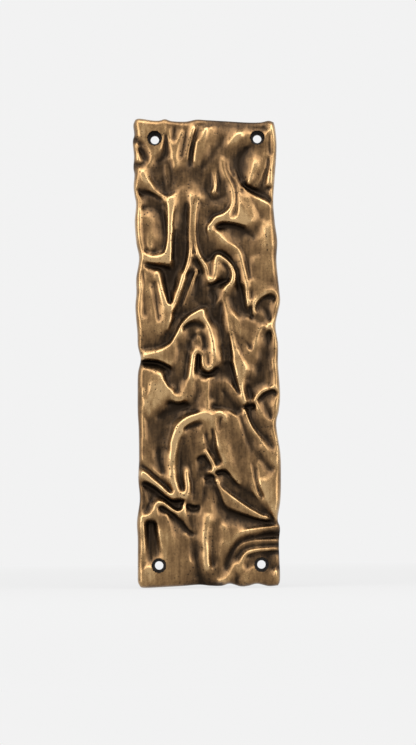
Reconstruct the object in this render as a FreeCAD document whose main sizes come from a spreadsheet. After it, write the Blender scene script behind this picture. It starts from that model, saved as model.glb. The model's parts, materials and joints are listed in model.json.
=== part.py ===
import FreeCAD, Part
import math
import os

# Cast door finger plate, one piece. It stands upright: x across, z up, flat back on y = 0, and the
# modelled front looks along -y. The front is a skin of cloth-like folds: it is drawn tight over the
# crest lines below and pressed down into the crevice lines, then rolled over at the edge of the plate.

# The fold pattern below is drawn in millimetres, and stretched to the plate's size in the sheet.

# How the skin is worked out, in drawn millimetres; levels run from 0 in the deepest crevice to 1 on
# the highest crest.
CELL = 1.25
GRID_MARGIN = 2.0
LEVEL_AT_REST = 0.4
CREST_PULL = 2.4
VALLEY_PULL = 1.4
RELAX_ROUNDS = 90
OVER_RELAX = 1.6
SOFTEN_ROUNDS = 1

# Rows of facets of the front, and how the edge of the plate rolls over.
POINTS_ACROSS = 37
POINTS_UP = 121
ROLL_INSET = 1.3
ROLL_SHARE = 0.72

# Outline of the plate, as (across, up); neighbouring edges share their rounded corner point.
LEFT_EDGE = [
    (-37.8, 125.2), (-38.7, 122.5), (-38.3, 117.5), (-39.1, 113.5), (-38.5, 106), (-38.9, 100),
    (-38.4, 96), (-38.9, 90), (-38.4, 85), (-37.7, 80), (-38.5, 71), (-37.8, 60), (-36.4, 51.5),
    (-38, 41), (-38, 33), (-38.6, 25), (-37.7, 12), (-37.5, 5), (-36.1, -2.5), (-37.6, -10),
    (-37.9, -22), (-37.9, -31), (-37.5, -40), (-37.5, -56), (-38, -66), (-37.3, -77),
    (-38.9, -88.6), (-38.6, -98), (-38.7, -108), (-38.8, -117), (-38.7, -121), (-37.6, -123.4),
]
RIGHT_EDGE = [
    (36.2, 123.4), (37, 120), (37.6, 113), (37.4, 105), (36.5, 94), (35.6, 81), (36.3, 70),
    (37.5, 60), (37, 49), (38.3, 34), (38.6, 27), (36.2, 15.5), (37.4, 5), (37.3, -6), (38.2, -21),
    (37.5, -30), (36, -38), (38, -53), (38.2, -66), (37.8, -78), (36.3, -88), (37.4, -93),
    (36.8, -100), (36.9, -109), (37.2, -117), (37, -121.5), (36, -123.6),
]
TOP_EDGE = [
    (-37.8, 125.2), (-36, 126), (-33.5, 125.8), (-28, 124.9), (-24.5, 124.9), (-21.6, 125.6),
    (-18, 124.6), (-10.8, 124.3), (-5, 125.3), (0, 125), (12, 124.2), (22, 123.5), (29, 123.5),
    (33.5, 124.3), (36.2, 123.4),
]
BOTTOM_EDGE = [
    (-37.6, -123.4), (-35.8, -124.2), (-28, -124), (-15, -123.4), (-6, -122.8), (0, -123.4),
    (6, -123.5), (10.5, -122.4), (16, -123.9), (20, -123.7), (25, -122.6), (31, -123.9),
    (36, -123.6),
]

# Crest lines: level at the first point, level at the last, then (across, up).
CRESTS = {
    "hole_right_rib": (0.7, 0.67, [
        (33.4, 118.3), (32, 114.3), (31.8, 107.8), (33, 103.8),
    ]),
    "pocket_rim_left": (0.7, 0.56, [
        (24.4, 115.7), (21.2, 111.1), (18.2, 107.1), (16.7, 103.3), (16.4, 98.9), (16.4, 94.4),
    ]),
    "top_right_plain": (0.63, 0.59, [
        (22.4, 117.2), (25.4, 114.3),
    ]),
    "vee_left_arm": (0.78, 0.89, [
        (-26.8, 43.9), (-25.8, 38), (-23.8, 31.5), (-21.9, 26.4), (-19.6, 23.5),
    ]),
    "tongue_left": (0.83, 0.78, [
        (5, -30.5), (3.6, -34.4), (3.2, -38.9), (4.1, -43.9), (5, -49.3), (6.7, -53.8),
        (8.6, -58.2), (10.2, -61.8), (12.9, -65.6), (15.9, -69.2),
    ]),
    "sweep_one": (0.63, 0.74, [
        (4, -114.5), (6.4, -109), (8.8, -104.4), (11.4, -100), (14.4, -96.9), (19, -94.6),
        (27, -93.2), (37, -92),
    ]),
    "sweep_two": (0.44, 0.52, [
        (10.4, -111.5), (12.8, -106.5), (16, -102.5), (20.4, -100.5), (28, -99.9), (37, -99.4),
    ]),
    "sweep_three": (0.78, 0.59, [
        (14, -118.5), (16, -113), (17.6, -108.5), (20, -106), (25, -104.6), (31, -104.3),
        (37, -104),
    ]),
    "roll_outer": (0.78, 0.7, [
        (-35.8, 98.6), (-35.2, 95), (-33.6, 91), (-30.6, 88), (-26.4, 85.6), (-22.6, 83.2),
        (-20.4, 81.6),
    ]),
    "lens_lip": (0.52, 0.81, [
        (14.4, 107.4), (12, 105.4), (10.9, 102), (11.6, 98), (13.7, 94), (16.4, 90.8),
        (19.4, 87.8), (23.9, 84), (29.9, 80.4), (34.8, 77),
    ]),
    "inner_line": (0.67, 0.93, [
        (8.6, 104), (9.2, 100), (10, 96), (11.6, 92.6), (13.6, 89.2), (14.5, 85), (14.4, 80.6),
        (13, 76.6), (10, 73.6), (6.9, 72.3), (4.4, 70.7), (2.4, 67.7), (0.8, 64.8),
    ]),
    "shoulder_crest": (0.74, 1, [
        (17.4, 89.6), (16.2, 84), (15.8, 79), (16.8, 74.4), (18.8, 71.6), (21, 69.8),
    ]),
    "right_edge_mid": (0.7, 0.59, [
        (32.2, 79.6), (34.2, 73.7), (35.6, 67.2), (36.4, 59.8), (36.6, 51.9), (36.3, 43.9),
        (36, 38), (35.8, 34),
    ]),
    "plain_swell": (0.89, 0.74, [
        (30.4, 70), (31.6, 64), (31.2, 58),
    ]),
    "long_crest_left": (0.85, 0.8, [
        (-7.6, 84.4), (-7.8, 79), (-8.3, 67.7), (-8.3, 58.8), (-9, 52), (-10.6, 45.4), (-12.4, 40),
        (-14.6, 33.5), (-16.6, 28.6), (-18.2, 24.6), (-19.8, 18.5), (-21.2, 13),
    ]),
    "hook_tail": (0.67, 0.67, [
        (11.8, 23.5), (14.4, 19.1), (17, 14.8), (19, 10.8),
    ]),
    "hook_stem": (0.67, 0.89, [
        (9.1, 32.8), (8.7, 29.5), (9.6, 26.1), (10.3, 21.8), (10.9, 16.7), (11.7, 11.7),
        (12.7, 5.8), (13.4, -0.7), (14, -6.4), (15.1, -10.9), (16.2, -15.4), (18, -21.5),
        (19.4, -26.4),
    ]),
    "loop_upper_left": (0.44, 0.59, [
        (26.2, 20.1), (28.4, 17.1), (30.6, 14.5), (28.9, 10.7), (27.2, 6.7), (26, 1.8),
        (25.4, -2.7),
    ]),
    "return_stroke": (0.78, 0.44, [
        (19.4, -27), (17, -23.4), (13.9, -19.4), (11, -16.8), (8, -14.6),
    ]),
    "facet_ridge": (0.74, 0.78, [
        (13.2, 6.2), (15.8, -0.7), (17.8, -6.2), (18.6, -11.6), (18, -17.1),
    ]),
    "wave": (0.81, 0.7, [
        (-36.6, -86), (-34.1, -86.5), (-31.3, -85.5), (-29.6, -83), (-28.6, -80.1), (-27.1, -78.8),
        (-24.6, -79.3), (-22.1, -80.8), (-19.6, -83), (-17.4, -84.3), (-15.1, -83.5),
        (-13.8, -81.1), (-13.3, -78.8),
    ]),
    "tongue_mid": (0.56, 0.59, [
        (9.9, -34.4), (11, -42.4), (12.4, -49.3), (14.4, -56.3), (16.9, -63.2),
    ]),
    "long_right_line": (0.78, 0.81, [
        (18.7, -29.5), (20.4, -34.4), (22.8, -39.9), (25.8, -44.6), (29, -49.4), (32, -54),
        (34.9, -58.7), (36.7, -61.7),
    ]),
    "junction_bump": (0.93, 0.78, [
        (6.2, -32.2), (8.4, -34), (10.4, -37.4),
    ]),
    "arch_leg": (0.7, 0.7, [
        (-15.6, 8.2), (-17.8, 4.7), (-19.1, 0.3), (-19.7, -5.2),
    ]),
    "petal_face": (0.89, 0.96, [
        (27, -67), (29.4, -73), (32.2, -79.5), (34.6, -84.6),
    ]),
    "low_panel": (0.67, 0.78, [
        (-23.1, -85), (-21.1, -94), (-19.1, -102.9), (-17.6, -109.8),
    ]),
    "low_panel_right": (0.63, 0.7, [
        (-12.6, -95), (-12, -104.9), (-11, -110.8),
    ]),
    "foot_right": (0.63, 0.63, [
        (5.8, -87), (6.9, -91), (7.6, -96), (6.2, -102.9),
    ]),
    "foot_face": (0.63, 0.59, [
        (6, -92), (6.6, -99), (4.4, -107),
    ]),
    "foot_twin": (0.59, 0.67, [
        (3, -83), (3, -89), (1.8, -96.9), (0.8, -104.9),
    ]),
    "foot_ridge": (0.59, 0.81, [
        (1.2, -80), (0, -85), (-1.4, -91.4), (-2.3, -99), (-2, -106),
    ]),
    "low_wing": (0.93, 0.89, [
        (-36.4, -63), (-33.9, -64.4), (-30.6, -67), (-27.1, -70), (-23.1, -73.4), (-18.9, -76.4),
    ]),
    "cave_lip_upper": (0.81, 0.81, [
        (3, 67.5), (5.4, 70.6), (8.6, 71.2), (12, 70), (15.5, 69.4), (19.5, 67.6), (23, 64.6),
    ]),
    "plain_edge": (0.85, 0.74, [
        (34.6, 73), (35.2, 65), (34.8, 57),
    ]),
    "long_crest_right": (0.7, 0.96, [
        (-1.8, 85.4), (-4.8, 81.9), (-6.2, 76.4), (-6.7, 67.7), (-6.5, 59.3), (-4.8, 53),
        (-2, 48.4), (0, 44.4), (0.6, 40.6), (1.8, 37.8), (3.4, 38.4), (4.4, 41.6), (4.6, 47.4),
        (4.8, 51.9),
    ]),
    "oval": (0.89, 0.74, [
        (-0.4, -33.4), (-3.1, -32.6), (-6.6, -33.1), (-10.6, -35), (-14.1, -37.9), (-16.6, -41.6),
        (-18.4, -46.3), (-19.2, -52.3), (-19.7, -59.2), (-19.5, -65.2), (-18.5, -70.1),
        (-16.6, -74.1), (-14.2, -75.9), (-12.3, -74.6), (-11.5, -71.1), (-11.6, -66.7),
        (-11.6, -61.7),
    ]),
    "small_hook": (0.56, 0.48, [
        (-2.6, -46), (-2.2, -50.4), (-3.4, -52), (-6, -53.6), (-7.8, -56), (-8.2, -60), (-8, -65),
    ]),
    "small_lobe": (0.52, 0.56, [
        (-3, -66.6), (-3.8, -70.6), (-4.8, -76.4), (-7.2, -79.6), (-10, -78.4),
    ]),
    "foot_nub": (0.78, 0.74, [
        (22.4, -114.5), (21.4, -118.5), (20.6, -122),
    ]),
    "vee_right_arm": (0.89, 0.48, [
        (-20, 82), (-16.5, 84.6), (-13, 86.4),
    ]),
    "thin_strut": (0.63, 0.56, [
        (9.4, 34), (7, 30), (5.4, 27),
    ]),
    "meander_lobe": (0.56, 0.7, [
        (3.6, 13), (3.8, 7.2), (5.2, 1.3), (5.8, -2.7), (4.7, -6.2),
    ]),
    "meander": (0.89, 0.74, [
        (-2.7, 23.3), (-2.5, 19.6), (-0.4, 16), (1.7, 11), (3, 4.7), (3.4, -0.7), (3, -5.3),
        (1.4, -8.1), (-0.4, -8.6), (-2, -7.2), (-2.9, -3.7), (-3.4, -0.5), (-5.1, 1.8),
    ]),
    "meander_leg": (0.74, 0.89, [
        (-5.1, 1.8), (-6.9, 1.3), (-8.2, -1.2), (-9.3, -5.3), (-10.9, -12.1), (-12.6, -17.6),
        (-14.2, -21.7), (-16, -23.5), (-18, -23), (-19.8, -21.1), (-22.6, -17.8), (-24.8, -14.4),
    ]),
    "panel_bulge": (0.85, 0.81, [
        (-31, -15), (-27.5, -19), (-23.5, -23),
    ]),
    "left_swell": (0.81, 0.74, [
        (-34, -18), (-34.8, -27), (-34.8, -37), (-34.2, -45),
    ]),
    "small_hook_right": (0.78, 0.74, [
        (-2.2, -51), (-1, -53), (0.4, -56), (2.2, -59.4), (3.2, -62), (1.8, -63.2), (-0.8, -63.2),
        (-2.6, -64.4),
    ]),
    "low_nub": (0.96, 0.93, [
        (-32.6, -113), (-31.8, -121.5),
    ]),
    "low_nub_right": (0.89, 0.89, [
        (-30.8, -115.4), (-30.6, -121.5),
    ]),
    "bottom_swell": (0.74, 0.67, [
        (-26, -117), (-18, -118), (-10, -119),
    ]),
    "hook_tail_low": (0.74, 0.67, [
        (15.4, 15.2), (18, 9.2), (21, 3.7), (23.4, -0.3),
    ]),
    "pocket_seam": (0.52, 0.41, [
        (-21.2, 100.5), (-20.8, 95.5), (-20.2, 90.6),
    ]),
    "shoulder_far": (0.81, 0.74, [
        (23.4, 84), (26.2, 77), (28.9, 70.7),
    ]),
    "hole_lobe_mid": (0.59, 0.74, [
        (28, 106.4), (28.8, 100.5), (27.6, 95), (26, 91),
    ]),
    "drape_face": (0.48, 0.44, [
        (1, 98), (-1.6, 93.5), (-4, 88.6),
    ]),
    "cell_neighbour": (0.63, 0.52, [
        (-11, 86), (-13.6, 81), (-16, 75), (-17.6, 68),
    ]),
    "roll_inner": (0.78, 0.85, [
        (-32.9, 98), (-32.3, 95), (-31, 91.8), (-28.6, 88.4),
    ]),
    "hole_fork_left": (0.74, 0.63, [
        (-32.8, 114.2), (-30.6, 110.4), (-28.8, 107), (-28.6, 104.6), (-29.6, 102), (-30.8, 99.8),
    ]),
    "shoulder_fan": (0.63, 0.74, [
        (20.9, 82.6), (22.8, 76.5), (25.4, 71.6),
    ]),
    "hook": (0.93, 0.89, [
        (4.8, 52.2), (7.4, 51.4), (10.9, 48.7), (13.6, 45.4), (14.6, 41.9), (13.7, 38.3),
        (10.9, 35.7), (9.1, 32.8),
    ]),
    "soft_left_lobe": (0.67, 0.59, [
        (-8.2, -13.6), (-8.9, -18.6), (-10.4, -23),
    ]),
    "tongue_right": (0.67, 0.59, [
        (6.8, -31.7), (10.4, -31.4), (13.8, -33.2), (15.8, -37.8), (17.4, -43.4), (19, -49.3),
        (21, -55.3),
    ]),
    "foot_slope": (0.44, 0.67, [
        (-2.8, -88), (-4, -95), (-5, -102), (-4.6, -108),
    ]),
    "top_panel": (0.81, 0.93, [
        (0.4, 121.3), (-1.6, 113.4), (-3.6, 105.4), (-5.4, 100),
    ]),
    "top_panel_right": (0.74, 0.78, [
        (5.4, 120.8), (3.4, 114.4), (1.2, 108.4),
    ]),
    "small_spike": (0.56, 0.81, [
        (3.8, 97), (4.6, 92), (4.8, 88.6), (3.4, 85.6),
    ]),
    "cave_lip_lower": (0.78, 0.85, [
        (5, 64.3), (8.4, 60.4), (11.9, 57.8), (15.2, 56.2), (17.1, 53.4), (18.6, 47.9),
        (20.2, 41.9), (20.9, 36), (21.4, 30), (21.6, 24.9),
    ]),
    "slot_rib": (0.52, 0.44, [
        (8.4, 19.6), (9.7, 15.2), (10.2, 9.2),
    ]),
    "panel_left": (0.74, 0.81, [
        (-28.1, -9.6), (-27.6, -14.6), (-28.6, -20.5), (-31.1, -27.5), (-32.6, -32.5),
    ]),
    "petal_streak": (0.59, 0.93, [
        (21.4, -56.3), (22.4, -63.2), (23.4, -70.1), (25.2, -76.1), (28.4, -80.7), (32.4, -85),
        (35.4, -88.2),
    ]),
    "petal_two": (0.59, 0.74, [
        (26, -58.2), (27, -64.2), (28, -70.1),
    ]),
    "fan_left": (0.59, 0.78, [
        (-20.2, 121.3), (-20.2, 118.3), (-19.2, 113.4), (-17.9, 108.4), (-17.4, 103.5),
    ]),
    "top_right_rib": (0.81, 0.67, [
        (18.6, 117), (14.4, 114.4), (11.2, 110.8), (7.7, 108),
    ]),
    "faint_rib": (0.52, 0.48, [
        (8, 94.5), (10.4, 89.1), (11.6, 84.1), (11, 79.1),
    ]),
    "hollow_shelf": (0.44, 0.41, [
        (1.9, 78.2), (5.4, 76.7), (9.4, 77.7),
    ]),
    "fan_right": (0.78, 0.67, [
        (-12.3, 118.3), (-13.9, 114.4), (-15.2, 109.9), (-16.2, 104.4), (-16.8, 98.5),
    ]),
    "top_rib": (0.85, 0.63, [
        (-5.8, 121.3), (-7.6, 115.4), (-9.4, 109.2), (-10.4, 103.5),
    ]),
    "panel_edge": (0.81, 0.78, [
        (-4.6, 113.4), (-5.8, 107.4), (-6.2, 102),
    ]),
    "lobe_rim": (0.85, 0.7, [
        (30.4, 106.4), (31.2, 101.5), (29.6, 96), (27, 91.1), (25.4, 88.6),
    ]),
    "right_rim_patch": (0.81, 0.81, [
        (35, 93.5), (34.8, 87.6),
    ]),
    "cell_left_slope": (0.59, 0.7, [
        (-33.8, 75.7), (-33.8, 65.8), (-32.6, 57.8), (-30.1, 53.9),
    ]),
    "cell_pillow": (0.48, 0.7, [
        (-28.6, 74.7), (-28.8, 67.7), (-28.8, 60.8), (-28.2, 53.4),
    ]),
    "wing_blob": (1, 0.85, [
        (8, 72.1), (5.4, 71.3), (3, 68.7), (1, 65.4),
    ]),
    "lip_slope": (0.74, 0.67, [
        (10, 57), (13, 53.3), (15.2, 47.9), (16.2, 42.9),
    ]),
    "plain_bright": (0.81, 0.78, [
        (33, 64.8), (33.2, 58.8), (32.4, 54.8),
    ]),
    "plain_left": (0.56, 0.67, [
        (23, 47.9), (23.4, 41), (23.8, 34.5),
    ]),
    "stroke_two": (0.74, 0.44, [
        (-4.8, 45.5), (-6.8, 41.2), (-8.6, 37), (-10.6, 32), (-12.6, 26.6),
    ]),
    "stroke_one": (0.67, 0.56, [
        (-11, 40.5), (-12.6, 36.5), (-14.4, 31.5), (-16, 26.1), (-17.6, 21.6),
    ]),
    "hook_triangle": (0.81, 0.78, [
        (5.4, 45.4), (4.6, 41.9), (3.4, 39),
    ]),
    "left_wing_low": (0.85, 0.78, [
        (-35, -2.5), (-29.6, -2.6), (-24.6, -3.5), (-20.2, -5.7),
    ]),
    "arch_face": (0.63, 0.56, [
        (-5.6, 11.7), (-4.1, 7.7), (-3.6, 4.3),
    ]),
    "facet_face": (0.89, 0.78, [
        (15.2, 1.8), (17.8, -4.3), (19.8, -8.6),
    ]),
    "pocket_left_edge": (0.74, 0.7, [
        (27.8, 12.8), (26, 7.7), (24.4, 2.3),
    ]),
    "junction": (0.89, 0.89, [
        (29.8, 14.4), (32.4, 14), (35, 14.6),
    ]),
    "spine_face": (0.7, 0.74, [
        (-2, -14.6), (-2.2, -21.5), (-2.6, -28.5),
    ]),
    "panel_left_edge": (0.81, 0.93, [
        (-26, -10.2), (-23.2, -15), (-21, -19), (-18.2, -22.9),
    ]),
    "panel_left_mid": (0.78, 0.7, [
        (-32.1, -9.6), (-32.6, -16.6), (-33.6, -23.5),
    ]),
    "oval_ridge": (0.63, 0.67, [
        (-3.8, -39), (-3.4, -43.4), (-3.4, -48.3),
    ]),
    "foot_edge": (0.67, 0.85, [
        (14.2, -109.3), (12.2, -113.8), (10.4, -118.3), (8.4, -120.3), (4.2, -121.3),
    ]),
    "post_low": (0.74, 0.81, [
        (-26.9, -93.5), (-26, -98.9), (-24.8, -104.4), (-23.4, -109.3), (-22.6, -111.3),
    ]),
    "bottom_left_nub": (0.81, 0.93, [
        (-33.1, -113.8), (-33.4, -117.8), (-33.6, -121.2), (-35.2, -122.9),
    ]),
    "left_strip_rib": (0.7, 0.67, [
        (-32.6, 44.9), (-31.6, 38), (-30.6, 31), (-29.2, 24.1), (-27.6, 17.1), (-26.1, 11.2),
    ]),
    "spine": (0.74, 0.89, [
        (0.7, -12.6), (0, -18.6), (-0.4, -24.5), (-0.5, -30.5), (-0.4, -33.4),
    ]),
    "spine_left": (0.63, 0.67, [
        (-3.8, -14.6), (-3.6, -21.5), (-3.8, -27.5),
    ]),
    "panel_left_low": (0.7, 0.56, [
        (-33.6, -27.5), (-33.1, -35.4),
    ]),
    "corner_top_left": (0.85, 0.78, [
        (-36.6, 122.3), (-35.8, 118.3), (-34.4, 114.4),
    ]),
    "left_edge_upper": (0.78, 0.67, [
        (-38.2, 111.9), (-36.9, 106.9), (-35.2, 101.7),
    ]),
    "hole_fork_right": (0.78, 0.74, [
        (-22.5, 121.8), (-22.4, 118.3), (-22.9, 113.4), (-24.6, 109), (-28.2, 106.2),
    ]),
    "corner_top_right": (0.81, 0.74, [
        (35.4, 120.9), (36.2, 114.4), (36.1, 107.4), (34.7, 101.5), (33.2, 94.5), (32.6, 89.1),
    ]),
    "hole_lobe": (0.59, 0.56, [
        (29.8, 106.9), (30.9, 102.5), (29.9, 97.5), (27.4, 93), (25.4, 90.1),
    ]),
    "right_edge_stub": (0.74, 0.78, [
        (35.4, 87.4), (35.2, 83.1), (35.2, 79.6),
    ]),
    "cell_rim": (0.78, 1, [
        (-37.2, 88.6), (-37.5, 84.6), (-36.1, 80.6), (-36.4, 72.7), (-36.4, 63.8), (-35.4, 56.6),
        (-32.6, 51.5), (-27.6, 49.9), (-23, 50.9), (-20.8, 55), (-20.1, 61.8), (-19.4, 70.7),
        (-18.9, 77.7), (-19.5, 82.8),
    ]),
    "cell_corner": (0.96, 0.93, [
        (-20, 59.8), (-19.9, 53.9), (-20.4, 48.5),
    ]),
    "left_edge_strip": (0.78, 0.74, [
        (-34.6, 47.4), (-35.6, 41.9), (-35.3, 35), (-35.6, 28.1), (-36.2, 22.1), (-36, 14.2),
        (-36.3, 6.2), (-35.8, -0.2),
    ]),
    "floor_seam": (0.37, 0.3, [
        (-0.4, 36.5), (-0.3, 32), (-0.4, 28.1),
    ]),
    "hook_inner": (0.81, 0.59, [
        (7.2, 49.9), (6.9, 46.9), (5.7, 43.4), (4.2, 40),
    ]),
    "arch_left": (0.96, 0.85, [
        (-2.7, 23.3), (-5.5, 21.7), (-10.2, 18.9), (-13.3, 15.6), (-16, 11), (-18.2, 6.2),
        (-19.6, 4.3),
    ]),
    "left_wing": (0.81, 0.93, [
        (-19.6, 4.3), (-23.1, 1.4), (-27.1, -0.4), (-31.6, -1.6), (-35.9, -1.8),
    ]),
    "facet_edge": (0.74, 0.59, [
        (14.4, 4.7), (18.4, -1.7), (21.4, -6.2), (23.6, -9.6),
    ]),
    "right_slope": (0.59, 0.59, [
        (20.9, 20.1), (22.9, 13.2), (24.6, 6.2), (25.4, 0.3), (25.1, -4.7),
    ]),
    "left_edge_low": (0.7, 0.67, [
        (-35.8, -6.7), (-36.4, -12.6), (-36.6, -19.6), (-36.6, -27.5), (-36.5, -35.4),
        (-36.6, -43.4), (-36.4, -49.8), (-35.4, -55.3), (-32.9, -58.9), (-29.6, -62.2),
        (-26.1, -65.2),
    ]),
    "panel_left_rib": (0.59, 0.52, [
        (-31.6, -34.4), (-32.1, -42.4), (-31.6, -50.3), (-30.1, -57.3),
    ]),
    "loop_upper": (0.78, 0.81, [
        (24.1, 20.4), (24.3, 24.1), (25.9, 28.1), (29.4, 31), (33.4, 32.8), (35.9, 32.5),
        (37.4, 29.5), (37.9, 25.6), (37.2, 21.1), (35.4, 17.1), (34.6, 14.2), (35.8, 9.7),
        (37, 5.2), (36.8, -0.7), (36.4, -6.7), (36.2, -12.6), (36.1, -17.1),
    ]),
    "loop_bridge": (0.67, 0.7, [
        (30.6, 14.6), (32.7, 14.1), (34.7, 14.4),
    ]),
    "loop_lower": (0.81, 0.81, [
        (19, -26.5), (22.9, -25.9), (24.9, -24.5), (27.4, -21.5), (30.9, -19.4), (34.4, -18.1),
        (36.6, -19.4), (37.8, -22.5), (37.5, -27), (36.4, -31.5), (35, -34.9), (34.4, -38.4),
        (35.4, -42.9), (36.7, -49.3), (37.4, -56.3), (37.3, -63.2), (36.9, -71.1), (37, -79.1),
        (36.4, -83.5), (35.7, -87.3),
    ]),
    "loop_lower_left": (0.78, 0.67, [
        (24.9, -26.5), (26.9, -31), (29.7, -34.9), (31.9, -37.4), (34, -39.6),
    ]),
    "spine_twin": (0.52, 0.48, [
        (2.2, -12.6), (2.4, -18.6), (3.2, -24),
    ]),
    "oval_right": (0.89, 0.59, [
        (-1.9, -33.1), (-0.2, -36.6), (0.5, -40.4), (0.9, -45.3),
    ]),
    "bridge": (0.78, 0.74, [
        (2, -61.5), (5.4, -61), (9, -59.9),
    ]),
    "leaf_left": (0.81, 0.67, [
        (2.6, -61.2), (3, -64.2), (3.9, -67.7), (5.7, -72.1), (7.2, -76.6), (8.6, -80.1),
    ]),
    "leaf_upper": (0.78, 0.85, [
        (4.1, -68.8), (7.9, -72.3), (11.9, -75.8), (16.4, -79.1), (21.7, -82.8), (26.7, -85.6),
        (30.6, -87.5),
    ]),
    "leaf_lower": (0.67, 0.7, [
        (8.6, -80.1), (13.9, -82.1), (19.4, -84.7), (25.4, -87.1), (30.6, -88.5),
    ]),
    "petal_one": (0.59, 0.67, [
        (18.9, -55.3), (20.9, -62.2), (22.7, -68.2), (24.4, -73.1), (27.4, -77.9), (31.4, -83),
        (35, -87.5),
    ]),
    "low_wing_rib": (0.56, 0.44, [
        (-36.4, -70.6), (-34.6, -75.1), (-32.6, -78.6), (-31.2, -81.1),
    ]),
    "wave_tail": (0.78, 0.59, [
        (-13, -81.1), (-13.5, -84), (-13.1, -88), (-11.6, -91.5), (-9.8, -94),
    ]),
    "wave_knot": (0.74, 0.7, [
        (-16.8, -84.4), (-16, -86.8),
    ]),
    "post": (0.81, 0.67, [
        (-28.2, -81.3), (-28.3, -86), (-27.5, -89.5), (-26.2, -93),
    ]),
    "left_edge_post": (0.85, 0.7, [
        (-36.4, -86.4), (-35.6, -91), (-35.3, -98.9), (-35.4, -106.9), (-35.6, -113.8),
    ]),
    "corner_low_right": (0.56, 0.67, [
        (31.9, -121.5), (35.2, -119.5), (36, -116),
    ]),
    "right_low_nub": (0.67, 0.63, [
        (36.4, -107.8), (36, -111.3),
    ]),
}

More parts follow.
